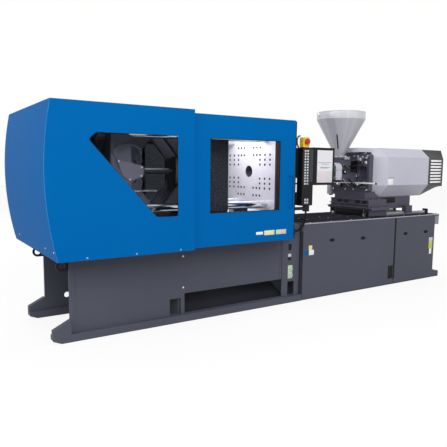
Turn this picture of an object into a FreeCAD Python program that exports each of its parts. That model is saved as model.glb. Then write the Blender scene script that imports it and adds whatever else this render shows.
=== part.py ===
import FreeCAD, Part
import math
import os

Vec = FreeCAD.Vector
os.makedirs("parts", exist_ok=True)

# Electric toggle injection moulding machine, millimetres.
# X = 0 is the mould face of the fixed platen and +X points to the injection end.
# Y = 0 is the machine's centre plane, the operator stands at -Y. Z = 0 is the floor.

# ---------------------------------------------------------------- general
axis_z = 1235.0            # clamping and injection axis above the floor
run_gap = 0.3              # clearance between pieces that move on each other
sheet_t = 3.0              # guard and cover sheet

# ---------------------------------------------------------------- clamp base
rail_outer = 405.0         # half width over the floor rails
rail_w = 80.0
rail_h = 60.0
clamp_left = -1859.0       # left edge of the side plates
base_joint = 348.0         # where the clamp base meets the injection base
plate_outer = 365.0        # half width over the side plates
plate_t = 12.0
deck_z = 740.0             # top of the clamp base
deck_t = 25.0
deck_inner = 230.0         # half width of the open well between the deck strips
edge_strip_w = 40.0
edge_strip_t = 4.0
foot_tip = 130.0           # foot bracket beyond the side plates
foot_toe = 71.0            # flat sole of the foot bracket
foot_low = 25.0
foot_nose = 100.0
foot_top = 165.0
chute_left = -906.0        # parts chute opening in the side plates
chute_right = 136.0
chute_end_w = 60.0         # from the opening to the cross wall beside it
chute_top = 228.0
panel_top = 640.0          # top of the recessed panel above the opening
post_w = 39.0              # post left of the chute opening
fork_left = -1044.0        # fork-lift notch
fork_right = -944.0
fork_top = 195.0
cable_hole_x = -1672.0
cable_hole_z = 163.0
cable_hole_r = 24.0
service_left = 208.0       # cable opening in the service column
service_right = 287.0
service_top = 196.0
first_wall_x = -1600.0
sole_half = 40.0           # half width of the floor beam under the mould face
slide_high = 330.0         # upper edge of the sloping chute sheet
fitting_x = 236.0
fitting_z = (316.0, 262.0)
fitting_r = 15.0
lug_x = clamp_left - 46.0
lug_z = 560.0
lug_outer = 42.0
lug_eye = 24.0
lug_t = 16.0

# ---------------------------------------------------------------- platens and tie bars
platen_half_w = 400.0
platen_half_h = 360.0
platen_corner = 45.0
fixed_t = 180.0
moving_face = -505.0       # mould face of the moving platen, mould open
moving_t = 200.0
tail_left = -1540.0
tail_right = -1380.0
tie_y = 265.0
tie_z = 297.0
tie_r = 35.0
tie_left = clamp_left - 1.0
tie_right = 255.0
nut_r = 60.0
nut_len = 70.0
way_in = 260.0             # platen ways, each side
way_out = 340.0
way_h = 50.0
way_right = -20.0
locating_r = 55.0
nozzle_well_r = 120.0
nozzle_well_depth = 120.0
bolt_r = 8.0
bolt_depth = 35.0
bolt_cols_in = (75.0, 125.0, 175.0)
bolt_cols_out = (175.0, 250.0, 325.0)
bolt_rows_mid = (65.0, 110.0)
bolt_row_wide = 155.0
bolt_row_top = 225.0
moving_bolt_rows = (65.0, 155.0)

# ---------------------------------------------------------------- toggle
link_len = 416.0           # rear and front links are equally long
fold_angle = 50.3          # of the links from the machine axis, mould open
pin_off = 90.0             # tailstock, platen and crosshead pins above and below the axis
tail_pin_x = -1291.0
lug_reach = 200.0          # tailstock pin to crosshead-link pin, and length of the crosshead link
lug_angle = 22.0           # of that lug from the rear link
big_pin_r = 22.0
small_pin_r = 18.0
big_boss_r = 45.0
knee_boss_r = 42.0
small_boss_r = 30.0
rear_in = 70.0
rear_out = 110.0
front_in = 112.0
front_out = 150.0
tail_ear_in = (40.0, 68.0)
tail_ear_out = (112.0, 145.0)
platen_ear_in = (77.0, 110.0)
platen_ear_out = (152.0, 185.0)
cross_link_in = 30.0
cross_link_out = 68.0
crosshead_half = 28.0
nut_boss_r = 45.0
nut_boss_back = 60.0
nut_boss_front = 40.0
guide_y = 62.0
guide_r = 14.0
guide_end = -865.0
arm_half = 85.0
arm_h = 30.0
ball_screw_r = 25.0
motor_r = 130.0
motor_len = 260.0
motor_rib_first = 60.0     # cooling grooves of the clamp motor, from its left end
motor_rib_pitch = 26.0
motor_rib_count = 5
motor_groove_w = 12.0
motor_groove_depth = 9.0

# ---------------------------------------------------------------- ejector
ejector_back = 140.0       # bracket depth behind the moving platen
ejector_half = 68.0
ejector_plate_t = 15.0
ejector_rod_r = 12.0
ejector_rod_pitch = 50.0
ejector_post_r = 10.0
ejector_post_z = 85.0

# ---------------------------------------------------------------- guards
guard_outer = 656.0        # half width over the clamp cover
cover_bottom = 640.0
cover_top = 1700.0
cover_right = -977.0
frame_reach = 41.0         # guard frame beyond the side plates
frame_left = clamp_left - frame_reach
end_reach_top = 134.0      # bent end sheet beyond the guard frame, at three heights
end_reach_mid = 184.0
end_reach_low = 112.0
end_mid_z = 1220.0
door_step = 28.0           # door face behind the cover's face
door_outer = guard_outer - door_step
door_depth = 25.0
door_left = cover_right
door_right = 37.0
door_bottom = cover_bottom + 10.0
door_top = cover_top - 23.0
door_win = (-822.0, -130.0, 915.0, 1495.0)
window_ring = 30.0
ring_depth = 20.0
pane_t = 5.0
grip_left = -35.0
grip_right = 25.0
grip_low = 920.0
grip_high = 1204.0
grip_depth = 15.0
side_win = ((-1737.0, 1500.0), (-1121.0, 1500.0), (-1121.0, 910.0), (-1294.0, 910.0), (-1789.0, 1452.0))
side_win_tip_r = 25.0
side_win_foot_r = 40.0
beam_inset = 81.0          # guard frame tubes behind the cover's face
beam_w = 55.0
beam_h = 50.0
beam_out = guard_outer - beam_inset
beam_in = beam_out - beam_w
beam_top = cover_top - 25.0
beam_low = cover_bottom + 10.0
frame_right = door_right - 2.0
post_width = 50.0
mid_post_x = cover_right - 33.0
roof_beam_x = -740.0
hanger_w = 30.0            # short plates between the frame and the covers' folds
door_rail_t = 17.0
door_rail_h = 16.0
door_rail_low_z = beam_low + 20.0
door_rail_top_z = beam_top - 35.0
runner_h = 36.0
runner_len = 60.0
runner_in = beam_out + 1.0

# ---------------------------------------------------------------- injection base
base_right = 2412.0
rail_right = 2481.0
stub_left = 2460.0
stub_right = 2535.0
stub_h = 66.0
table_z = 748.0
table_t = 20.0
table_right = 2489.0
post_size = 60.0
base_posts = (372.0, 1670.0, 2340.0)
cover_gap = 12.0
cover_split = 1700.0
cover_low = 15.0
fold_depth = 5.0
fold_t = 2.0
notch_left = 1610.0
notch_low = 69.0
notch_high = 212.0
latch_x = (741.0, 1191.0, 1883.0, 2246.0)
latch_z = (563.0, 552.0, 554.0, 553.0)
latch_r = 16.0
socket_box_reach = 74.0    # closed box under the table's overhang
socket_box_w = 75.0
socket_box_h = 100.0
cabinet_left = 460.0
cabinet_right = 1600.0
cabinet_half = 290.0
cabinet_top = 690.0
cabinet_beams = (560.0, 1440.0)   # floor beams that carry the cabinet

# ---------------------------------------------------------------- injection unit
guide_rail_y = 230.0
guide_rail_w = 30.0
guide_rail_h = 32.0
guide_rail_left = 1380.0
guide_rail_right = 2450.0
block_len = 110.0
block_w = 60.0
carriage_left = 1400.0
carriage_front_right = 1690.0
carriage_right = 2205.0
carriage_low = 820.0
carriage_high = 935.0
carriage_half = 280.0
lip_half = 325.0
lip_h = 30.0
pedestal_half = 200.0
pedestal_top = 958.0
well_end = 40.0            # walls and floor of the open pedestal
well_side = 20.0
well_floor = 30.0
saddle_half = 225.0
skirt_half = 290.0         # side skirts that hide the guide rails
skirt_t = 4.0
skirt_gap = 6.0
plate_low = 1020.0
front_plate_t = 60.0
front_plate_half = 270.0
front_plate_top = 1430.0
pocket_side = (130.0, 240.0)          # cast pockets beside the throat
pocket_z = (1150.0, 1285.0)
pocket_depth = 38.0
rod_boss_r = 34.0
rod_boss_h = 18.0
bar_front = 395.0          # bright stop bar, from the centre plane to both sides
bar_back = 230.0
bar_r = 6.0
bar_gap = 34.0
bar_stand_r = 5.0
barrel_r = 45.0
barrel_left = 62.0
barrel_right = 1390.0
screw_r = 17.0
nozzle_tip_r = 16.0
nozzle_len = 110.0
nozzle_shank = 50.0
band_r = 68.0
band_first = 200.0
band_len = 150.0
band_gap = 30.0
band_count = 5
throat_left = 1150.0
throat_half = 100.0
throat_low = axis_z - 115.0
throat_high = axis_z + 125.0
throat_cover_len = 90.0    # light hood over the barrel's flange, with its corner radius
throat_cover_half = 115.0
throat_cover_low = axis_z - 87.0
throat_cover_high = axis_z + 95.0
throat_cover_r = 60.0
throat_cover_t = 3.0
flange_r = barrel_r + 35.0
feed_r = 25.0
hopper_x = 1225.0
hopper_seat = throat_high + 30.0      # top of the shutter housing
hopper_cone_low = hopper_seat + 15.0
hopper_cone_h = 388.0
hopper_band_h = 75.0
hopper_rim_r = 258.0
hopper_rim_low = hopper_cone_low + hopper_cone_h
hopper_rim_high = hopper_rim_low + hopper_band_h
sight_low = hopper_cone_low + 75.0    # upright sight slot in the cone
sight_high = sight_low + 147.0
sight_half = 7.0
sight_angle = -58.0        # from the operator's side towards the clamp
housing_half = 70.0
spout_r = 50.0
hopper_wall = 2.5
lid_t = 4.0
hopper_flange_r = 80.0
hopper_flange_t = 8.0
shutter_t = 8.0
shutter_half = 38.0
shutter_front = 110.0
shutter_back = 68.0
shutter_grip_t = 6.0
shutter_grip_h = 30.0
guide_rod_r = 18.0
guide_rod_y = 150.0
guide_rod_z = 130.0
rear_plate_x = 2150.0
rear_plate_t = 40.0
drive_x = 1650.0
drive_t = 70.0
drive_half_w = 250.0
drive_half_h = 158.0
drive_motor_r = 110.0
drive_motor_len = 150.0
inj_screw_r = 25.0
inj_motor_r = 125.0
inj_motor_len = 170.0

# ---------------------------------------------------------------- injection covers
cover_wall = 4.0
hood_left = 1552.0
hood_full = 1667.0
hood_right = 2392.0
hood_half = 300.0
hood_side_low = 1090.0
hood_side_high = 1400.0
hood_top_half = 185.0
hood_top = 1500.0
hood_foot_half = 190.0
hood_foot = pedestal_top   # the cover stands on the pedestal rim
hood_front_half = 185.0
visor_left = 1345.0
visor_half = 160.0
visor_low = 1450.0
visor_end = carriage_left + front_plate_t + 4.0    # wall below the visor, behind the front plate
cap_right = 2780.0
cap_half = 225.0
cap_low = 1060.0
cap_high = 1390.0
cap_top = 1497.0
louvre_first = 1108.0
louvre_pitch = 36.0
louvre_count = 8
louvre_h = 20.0
louvre_left = 2440.0

# ---------------------------------------------------------------- operator panel
pivot_x = 338.0
pivot_y = -450.0
panel_front = -480.0       # face of the slab and the screen unit
slab_left = 256.0
slab_right = 390.0
slab_low = 925.0
slab_high = 1460.0
slab_t = 73.0
screen_right = 660.0
screen_low = 1114.0
screen_high = 1463.0
screen_t = 45.0
screen_rim = 23.0          # frame round the screen, wider beside the slab
screen_side = 47.0
stop_x = 298.0
stop_z = 1512.0
stop_half = 40.0
stop_depth = 50.0
stop_r = 27.0
arm_pad = (90.0, 170.0)
arm_pad_h = 100.0
arm_left = 130.0
arm_low = 885.0
arm_thick = 25.0
conduit_r = 10.0
conduit_z = 690.0
conduit_turns = ((338.0, 789.0), (297.5, 719.0), (247.5, 690.0))
gland_left = 100.0
gland_right = 190.0


# ---------------------------------------------------------------- form helpers
def box(x0, x1, y0, y1, z0, z1):
    """Block between two corners."""
    return Part.makeBox(x1 - x0, y1 - y0, z1 - z0, Vec(x0, y0, z0))


def bar_x(x0, x1, r, y=0.0, z=axis_z):
    """Round bar along X."""
    return Part.makeCylinder(r, x1 - x0, Vec(x0, y, z), Vec(1, 0, 0))


def bar_y(y0, y1, r, x, z):
    """Round bar along Y."""
    return Part.makeCylinder(r, y1 - y0, Vec(x, y0, z), Vec(0, 1, 0))


def bar_z(z0, z1, r, x, y):
    """Round bar along Z."""
    return Part.makeCylinder(r, z1 - z0, Vec(x, y, z0), Vec(0, 0, 1))


def slab_y(points, y0, y1):
    """Polygon in X and Z, extruded from y0 to y1."""
    outline = [Vec(x, y0, z) for x, z in points]
    return Part.Face(Part.makePolygon(outline + outline[:1])).extrude(Vec(0, y1 - y0, 0))


def slab_x(points, x0, x1):
    """Polygon in Y and Z, extruded from x0 to x1."""
    outline = [Vec(x0, y, z) for y, z in points]
    return Part.Face(Part.makePolygon(outline + outline[:1])).extrude(Vec(x1 - x0, 0, 0))


def join(pieces):
    """Weld pieces into one solid."""
    return pieces[0].multiFuse(pieces[1:]).removeSplitter()


def both_sides(piece):
    """A piece and its mirror image on the other side of the centre plane."""
    return [piece, mirrored(piece)]


def mirrored(piece):
    return piece.mirror(Vec(0, 0, 0), Vec(0, 1, 0))


def round_edges(piece, radius, wanted):
    """Fillet the straight edges that the test picks by their two end points."""
    edges = [e for e in piece.Edges
             if len(e.Vertexes) == 2 and wanted(e.Vertexes[0].Point, e.Vertexes[1].Point)]
    return piece.makeFillet(radius, edges)


def along(axis):
    """Test for edges that run along one axis, 0 for X, 1 for Y and 2 for Z."""
    others = [i for i in range(3) if i != axis]
    return lambda a, b: all(abs(a[i] - b[i]) < 0.01 for i in others)


def belt(circles, y0, y1):
    """Plate whose outline runs round circles (x, z, r), anticlockwise seen from -Y."""
    count = len(circles)
    runs = []
    for i in range(count):
        x0, z0, r0 = circles[i]
        x1, z1, r1 = circles[(i + 1) % count]
        heading = math.atan2(z1 - z0, x1 - x0)
        normal = heading - math.acos((r0 - r1) / math.hypot(x1 - x0, z1 - z0))
        leave = Vec(x0 + r0 * math.cos(normal), y0, z0 + r0 * math.sin(normal))
        reach = Vec(x1 + r1 * math.cos(normal), y0, z1 + r1 * math.sin(normal))
        runs.append((normal, leave, reach))
    edges = []
    for i in range(count):
        before, _, arrive = runs[i - 1]
        after, leave, reach = runs[i]
        middle = before + ((after - before) % (2 * math.pi)) / 2
        x, z, r = circles[i]
        crown = Vec(x + r * math.cos(middle), y0, z + r * math.sin(middle))
        edges.append(Part.Arc(arrive, crown, leave).toShape())
        edges.append(Part.LineSegment(leave, reach).toShape())
    return Part.Face(Part.Wire(edges)).extrude(Vec(0, y1 - y0, 0))


def loft(sections):
    """Solid through polygons given as lists of points, with flat faces between them."""
    wires = []
    for points in sections:
        corners = [Vec(*p) for p in points]
        wires.append(Part.makePolygon(corners + corners[:1]))
    return Part.makeLoft(wires, True, True)


def turned(profile, x, y):
    """Solid of revolution about the upright axis through x, y. Profile points are (radius, z)."""
    outline = [Vec(x + r, y, z) for r, z in profile]
    return Part.Face(Part.makePolygon(outline + outline[:1])).revolve(Vec(x, y, 0), Vec(0, 0, 1), 360)


# ---------------------------------------------------------------- clamp base
def clamp_base_frame():
    """Welded base: floor rails with foot brackets, side plates, cross walls and deck."""
    wall_z = deck_z - deck_t
    pieces = []
    for side in (-1, 1):
        y_rail = sorted((side * rail_outer, side * (rail_outer - rail_w)))
        y_plate = sorted((side * plate_outer, side * (plate_outer - plate_t)))
        y_strip = sorted((side * plate_outer, side * (plate_outer + edge_strip_t)))
        y_foot = sorted((side * rail_outer, side * (plate_outer - plate_t)))
        y_deck = sorted((side * (plate_outer - plate_t), side * deck_inner))
        pieces.append(box(clamp_left, base_joint, *y_rail, 0, rail_h))
        toe = clamp_left - foot_toe
        tip = clamp_left - foot_tip
        sole = [(clamp_left, 0), (toe, 0), (tip, foot_low), (tip, rail_h), (clamp_left, rail_h)]
        gusset = [(clamp_left, rail_h), (tip, rail_h), (tip, foot_nose), (clamp_left, foot_top)]
        pieces.append(slab_y(sole, *y_rail))
        pieces.append(slab_y(gusset, *y_foot))
        plate = box(clamp_left, base_joint, *y_plate, rail_h, deck_z)
        plate = plate.cut(box(chute_left, chute_right, *y_plate, rail_h, panel_top))
        plate = plate.cut(box(fork_left, fork_right, *y_plate, rail_h, fork_top))
        if side < 0:
            plate = plate.cut(box(service_left, service_right, *y_plate, rail_h, service_top))
        else:
            plate = plate.cut(bar_y(*y_plate, cable_hole_r, cable_hole_x, cable_hole_z))
        pieces.append(plate)
        pieces.append(box(clamp_left, clamp_left + edge_strip_w, *y_strip, rail_h, panel_top))
        pieces.append(box(clamp_left, base_joint, *y_deck, wall_z, deck_z))
    half = plate_outer - plate_t
    rail_half = rail_outer - rail_w
    walls = (first_wall_x, chute_left - post_w - plate_t, chute_right + chute_end_w, base_joint - plate_t)
    for x in walls:
        pieces.append(box(x, x + plate_t, -half, half, rail_h, wall_z))
        pieces.append(box(x, x + plate_t, -rail_half, rail_half, 0, rail_h))
    pieces.append(box(-sole_half, sole_half, -rail_half, rail_half, 0, rail_h))
    pieces.append(box(first_wall_x, walls[1] + plate_t, -deck_inner, deck_inner, wall_z, deck_z))
    return [join(pieces)]


def lifting_lugs():
    """Lifting rings on the left edges of the side plates."""
    lugs = []
    for side in (-1, 1):
        y0, y1 = sorted((side * plate_outer, side * (plate_outer - lug_t)))
        ring = bar_y(y0, y1, lug_outer, lug_x, lug_z)
        neck = box(lug_x, clamp_left, y0, y1, lug_z - lug_outer, lug_z + lug_outer)
        lugs.append(ring.fuse(neck).cut(bar_y(y0, y1, lug_eye, lug_x, lug_z)).removeSplitter())
    return lugs


def parts_chute():
    """Recessed panels above the openings and the sloping sheet that parts fall on."""
    pieces = []
    inner = plate_outer - plate_t
    panel = box(chute_left, chute_right, -inner - 2 * sheet_t, -inner, chute_top, panel_top)
    slot = box(chute_left + 20, chute_right - 20, -inner - 2 * sheet_t, -inner - sheet_t,
               chute_top + 20, panel_top - 20)
    pieces += both_sides(panel.cut(slot))
    left = chute_left - post_w
    right = chute_right + chute_end_w
    run = inner - 10
    bend = -rail_outer + rail_w
    slide = [(-run, rail_h), (bend, rail_h), (run, slide_high),
             (run, slide_high + sheet_t), (bend, rail_h + sheet_t), (-run, rail_h + sheet_t)]
    pieces.append(slab_x(slide, left, right))
    return pieces


def water_fittings():
    """Two cooling-water couplings on the service column."""
    fittings = []
    for z in fitting_z:
        body = bar_y(-plate_outer - 22, -plate_outer, fitting_r, fitting_x, z)
        fittings.append(body.cut(bar_y(-plate_outer - 22, -plate_outer - 6, fitting_r - 6, fitting_x, z)))
    return fittings


# ---------------------------------------------------------------- platens
def platen_block(x0, x1):
    """Upright plate with rounded corners and four tie-bar bores."""
    block = box(x0, x1, -platen_half_w, platen_half_w, axis_z - platen_half_h, axis_z + platen_half_h)
    block = round_edges(block, platen_corner, along(0))
    bores = [bar_x(x0, x1, tie_r + run_gap, y, axis_z + z) for y, z in tie_centres()]
    return block.cut(bores)


def tie_centres():
    return [(y, z) for y in (-tie_y, tie_y) for z in (-tie_z, tie_z)]


def mould_bolts(x0, x1, rows_mid, all_rows):
    """Tapped holes of a mould face, as bars to cut away."""
    places = set()
    for col in bolt_cols_out:
        for row in rows_mid:
            places.add((col, row))
    if all_rows:
        for col in bolt_cols_in + bolt_cols_out:
            places.add((col, bolt_row_wide))
        for col in bolt_cols_in:
            places.add((col, bolt_row_top))
    holes = []
    for col, row in sorted(places):
        for y in (-col, col):
            for z in (-row, row):
                holes.append(bar_x(x0, x1, bolt_r, y, axis_z + z))
    return holes


def platen_feet(x0, x1, low):
    """Feet from the platen's underside down to the given height."""
    return [box(x0, x1, side * way_in if side > 0 else -way_out, side * way_out if side > 0 else -way_in,
                low, axis_z - platen_half_h) for side in (-1, 1)]


def fixed_platen():
    block = join([platen_block(0, fixed_t)] + platen_feet(0, fixed_t, deck_z))
    holes = mould_bolts(0, bolt_depth, bolt_rows_mid, True)
    holes.append(bar_x(0, fixed_t, locating_r))
    holes.append(bar_x(fixed_t - nozzle_well_depth, fixed_t, nozzle_well_r))
    return [block.cut(holes)]


def tie_bars():
    """Four bars with their nuts behind the fixed platen."""
    pieces = []
    for y, z in tie_centres():
        pieces.append(bar_x(tie_left, tie_right, tie_r, y, axis_z + z))
        nut = bar_x(fixed_t, fixed_t + nut_len, nut_r, y, axis_z + z)
        pieces.append(nut.cut(bar_x(fixed_t, fixed_t + nut_len, tie_r + run_gap, y, axis_z + z)))
    return pieces


def platen_ways():
    way = box(clamp_left, way_right, -way_out, -way_in, deck_z, deck_z + way_h)
    return both_sides(way)


# ---------------------------------------------------------------- toggle
rad = math.radians(fold_angle)
knee_x = tail_pin_x + link_len * math.cos(rad)
knee_z = pin_off + link_len * math.sin(rad)
platen_pin_x = tail_pin_x + 2 * link_len * math.cos(rad)
lug_dir = math.radians(fold_angle + lug_angle)
lug_pin_x = tail_pin_x + lug_reach * math.cos(lug_dir)
lug_pin_z = pin_off + lug_reach * math.sin(lug_dir)
cross_pin_x = tail_pin_x + 2 * lug_reach * math.cos(lug_dir)


def ears(pin_x, wall_x, inner, outer, radius):
    """Clevis ears from a platen's wall to a pin, above and below the axis, on both sides."""
    pieces = []
    for y0, y1 in (inner, outer):
        for z in (-pin_off, pin_off):
            eye = bar_y(-y1, -y0, radius, pin_x, axis_z + z)
            x0, x1 = sorted((pin_x, wall_x))
            web = box(x0, x1, -y1, -y0, axis_z + z - radius, axis_z + z + radius)
            pieces += both_sides(eye)
            pieces += both_sides(web)
    return pieces


def pin_bores(pin_x, reach, radius):
    return [bar_y(-reach, reach, radius + run_gap, pin_x, axis_z + z) for z in (-pin_off, pin_off)]


def tailstock_platen():
    """Tailstock with its clevis ears, feet, crosshead guide rods and link pins."""
    block = join([platen_block(tail_left, tail_right)]
                 + ears(tail_pin_x, tail_right, tail_ear_in, tail_ear_out, big_boss_r)
                 + platen_feet(tail_left, tail_right, deck_z + way_h + run_gap))
    cuts = pin_bores(tail_pin_x, tail_ear_out[1], big_pin_r)
    cuts.append(bar_x(tail_left, tail_right, ball_screw_r + 20))
    block = block.cut(cuts)
    rods = [bar_x(tail_right, guide_end, guide_r, y) for y in (-guide_y, guide_y)]
    pins = [bar_y(-front_out, front_out, big_pin_r, tail_pin_x, axis_z + z) for z in (-pin_off, pin_off)]
    return [join([block] + rods)] + pins + adjusting_nuts()


def clamp_motor():
    """Hollow-shaft motor bolted to the tailstock, with a ribbed round housing."""
    housing = bar_x(tail_left - motor_len, tail_left, motor_r)
    housing = round_edges_round(housing, 12)
    cuts = [bar_x(tail_left - 40, tail_left, ball_screw_r + 20)]
    for i in range(motor_rib_count):
        x = tail_left - motor_len + motor_rib_first + i * motor_rib_pitch
        ring = bar_x(x, x + motor_groove_w, motor_r + 1)
        cuts.append(ring.cut(bar_x(x, x + motor_groove_w, motor_r - motor_groove_depth)))
    return [housing.cut(cuts)]


def round_edges_round(piece, radius):
    """Fillet the circular edges at the left end of a turned piece."""
    left = piece.BoundBox.XMin
    edges = [e for e in piece.Edges
             if abs(e.BoundBox.XMin - left) < 0.01 and abs(e.BoundBox.XMax - left) < 0.01]
    return piece.makeFillet(radius, edges)


def adjusting_nuts():
    """Geared nuts that move the tailstock along the tie bars."""
    nuts = []
    for y, z in tie_centres():
        nut = bar_x(tail_left - nut_len, tail_left, nut_r, y, axis_z + z)
        nuts.append(nut.cut(bar_x(tail_left - nut_len, tail_left, tie_r + run_gap, y, axis_z + z)))
    return nuts


def ball_screw():
    """Screw that drives the crosshead, turned by the clamp motor."""
    return [bar_x(tail_left - 38, guide_end, ball_screw_r)]


def rear_link(side):
    """Rear link cheeks with the lug for the crosshead link, its pin and the knee pins."""
    knee = (knee_x, axis_z + side * knee_z, knee_boss_r)
    lug = (lug_pin_x, axis_z + side * lug_pin_z, small_boss_r)
    tail = (tail_pin_x, axis_z + side * pin_off, big_boss_r)
    circles = [tail, knee, lug] if side > 0 else [tail, lug, knee]
    cheek = belt(circles, -rear_out, -rear_in)
    bores = [bar_y(-rear_out, -rear_in, big_pin_r + run_gap, tail[0], tail[1]),
             bar_y(-rear_out, -rear_in, big_pin_r + run_gap, knee[0], knee[1]),
             bar_y(-rear_out, -rear_in, small_pin_r + run_gap, lug[0], lug[1])]
    pieces = both_sides(cheek.cut(bores))
    pieces += both_sides(bar_y(-front_out, -rear_in, big_pin_r, knee[0], knee[1]))
    pieces.append(bar_y(-rear_out, rear_out, small_pin_r, lug[0], lug[1]))
    return pieces


def front_link(side):
    """Front link cheeks from the knee to the moving platen."""
    knee = (knee_x, axis_z + side * knee_z, knee_boss_r)
    end = (platen_pin_x, axis_z + side * pin_off, big_boss_r)
    circles = [knee, end]
    cheek = belt(circles, -front_out, -front_in)
    bores = [bar_y(-front_out, -front_in, big_pin_r + run_gap, x, z) for x, z, _ in circles]
    return both_sides(cheek.cut(bores))


def crosshead_link(side):
    """Short link pair between the rear link's lug and the crosshead."""
    lug = (lug_pin_x, axis_z + side * lug_pin_z, small_boss_r)
    end = (cross_pin_x, axis_z + side * pin_off, small_boss_r)
    cheek = belt([lug, end], -cross_link_out, -cross_link_in)
    bores = [bar_y(-cross_link_out, -cross_link_in, small_pin_r + run_gap, x, z) for x, z, _ in (lug, end)]
    return both_sides(cheek.cut(bores))


def crosshead():
    """Crosshead with its screw nut, guide arms and pins."""
    ends = [(cross_pin_x, axis_z + z, small_boss_r + 8) for z in (-pin_off, pin_off)]
    body = belt(ends, -crosshead_half, crosshead_half)
    boss = bar_x(cross_pin_x - nut_boss_back, cross_pin_x + nut_boss_front, nut_boss_r)
    arms = box(cross_pin_x - nut_boss_back, cross_pin_x + nut_boss_front, -arm_half, arm_half,
               axis_z - arm_h, axis_z + arm_h)
    body = join([body, boss, arms])
    cuts = pin_bores(cross_pin_x, crosshead_half, small_pin_r)
    span = (cross_pin_x - nut_boss_back, cross_pin_x + nut_boss_front)
    cuts.append(bar_x(*span, ball_screw_r + run_gap))
    cuts += [bar_x(*span, guide_r + run_gap, y) for y in (-guide_y, guide_y)]
    pins = [bar_y(-cross_link_out, cross_link_out, small_pin_r, cross_pin_x, axis_z + z)
            for z in (-pin_off, pin_off)]
    return [body.cut(cuts)] + pins


def moving_platen():
    """Moving platen with clevis ears, feet, ejector bracket and link pins."""
    back = moving_face - moving_t
    block = join([platen_block(back, moving_face)]
                 + ears(platen_pin_x, back, platen_ear_in, platen_ear_out, big_boss_r)
                 + platen_feet(back, moving_face, deck_z + way_h + run_gap))
    cuts = pin_bores(platen_pin_x, platen_ear_out[1], big_pin_r)
    cuts += mould_bolts(moving_face - bolt_depth, moving_face, moving_bolt_rows, False)
    cuts += [bar_x(back, moving_face, ejector_rod_r + run_gap, 0, axis_z + z) for z in ejector_rods()]
    block = block.cut(cuts)
    pins = []
    for z in (-pin_off, pin_off):
        pins += both_sides(bar_y(-platen_ear_out[1], -platen_ear_in[0], big_pin_r, platen_pin_x, axis_z + z))
    return [block, ejector_bracket()] + pins


def ejector_rods():
    return (-ejector_rod_pitch, 0.0, ejector_rod_pitch)


def ejector_bracket():
    """Posts and end plate behind the moving platen, with the ejector drive below."""
    back = moving_face - moving_t
    left = back - ejector_back
    end = box(left, left + ejector_plate_t, -ejector_half, ejector_half,
              axis_z - 2 * ejector_post_z, axis_z + ejector_post_z + 25)
    posts = [bar_x(left, back, ejector_post_r, 0, axis_z + z) for z in (-ejector_post_z, ejector_post_z)]
    drive = bar_x(left, back, 32, 0, axis_z - ejector_post_z - 60)
    return join([end, drive] + posts)


def ejector_plate():
    """Ejector plate with three rods through the moving platen."""
    back = moving_face - moving_t
    left = back - ejector_back + ejector_plate_t + 5
    plate = box(left, left + ejector_plate_t, -ejector_half, ejector_half,
                axis_z - ejector_post_z - 20, axis_z + ejector_post_z + 20)
    plate = plate.cut([bar_x(left, left + ejector_plate_t, ejector_post_r + run_gap, 0, axis_z + z)
                       for z in (-ejector_post_z, ejector_post_z)])
    rods = [bar_x(left, moving_face - 5, ejector_rod_r, 0, axis_z + z) for z in ejector_rods()]
    return [join([plate] + rods)]


# ---------------------------------------------------------------- guards
def circle_through(p, q, r):
    """Centre and radius of the circle through three points."""
    ax, az = p
    bx, bz = q
    cx, cz = r
    d = 2 * (ax * (bz - cz) + bx * (cz - az) + cx * (az - bz))
    ux = ((ax**2 + az**2) * (bz - cz) + (bx**2 + bz**2) * (cz - az) + (cx**2 + cz**2) * (az - bz)) / d
    uz = ((ax**2 + az**2) * (cx - bx) + (bx**2 + bz**2) * (ax - cx) + (cx**2 + cz**2) * (bx - ax)) / d
    return ux, uz, math.hypot(ax - ux, az - uz)


def end_curve_x(z, inset):
    """X of the bent end sheet at a height, inset from its outer face."""
    cx, cz, r = circle_through((frame_left - end_reach_top, cover_top),
                               (frame_left - end_reach_mid, end_mid_z),
                               (frame_left - end_reach_low, cover_bottom))
    return cx - math.sqrt((r - inset)**2 - (z - cz)**2)


def end_arc(z0, z1, inset, y):
    middle = (z0 + z1) / 2
    a = Vec(end_curve_x(z0, inset), y, z0)
    b = Vec(end_curve_x(middle, inset), y, middle)
    c = Vec(end_curve_x(z1, inset), y, z1)
    return Part.Arc(a, b, c).toShape(), a, c


def line(a, b):
    return Part.LineSegment(a, b).toShape()


def clamp_cover_end():
    """Bent end sheet of the clamp cover."""
    y = -guard_outer
    outer, a, b = end_arc(cover_bottom, cover_top, 0, y)
    inner, c, d = end_arc(cover_bottom, cover_top, sheet_t, y)
    face = Part.Face(Part.Wire([outer, line(b, d), inner, line(c, a)]))
    return [face.extrude(Vec(0, 2 * guard_outer, 0))]


def side_sheet(z_top):
    """Side sheet of the clamp cover with folded edges at the top and the bottom."""
    y = -guard_outer
    arc, a, b = end_arc(cover_bottom, z_top, sheet_t, y)
    top = Vec(cover_right, y, z_top)
    low = Vec(cover_right, y, cover_bottom)
    face = Part.Face(Part.Wire([arc, line(b, top), line(top, low), line(low, a)]))
    skin = face.extrude(Vec(0, sheet_t, 0))
    low_fold = box(frame_left, cover_right, y + sheet_t, -beam_in, cover_bottom, cover_bottom + sheet_t)
    top_fold = box(frame_left, cover_right, y + sheet_t, -beam_out - 1, z_top - sheet_t, z_top)
    return join([skin, low_fold, top_fold])


def rounded_window(y0, y1):
    body = slab_y(list(side_win), y0, y1)
    tip = side_win[4]
    foot = side_win[3]
    body = round_edges(body, side_win_tip_r, lambda a, b: abs(a.x - tip[0]) < 1 and abs(b.x - tip[0]) < 1)
    return round_edges(body, side_win_foot_r, lambda a, b: abs(a.x - foot[0]) < 1 and abs(b.x - foot[0]) < 1)


def clamp_cover_front():
    sheet = side_sheet(cover_top - sheet_t)
    return [sheet.cut(rounded_window(-guard_outer - 1, -guard_outer + sheet_t + 1))]


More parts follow.
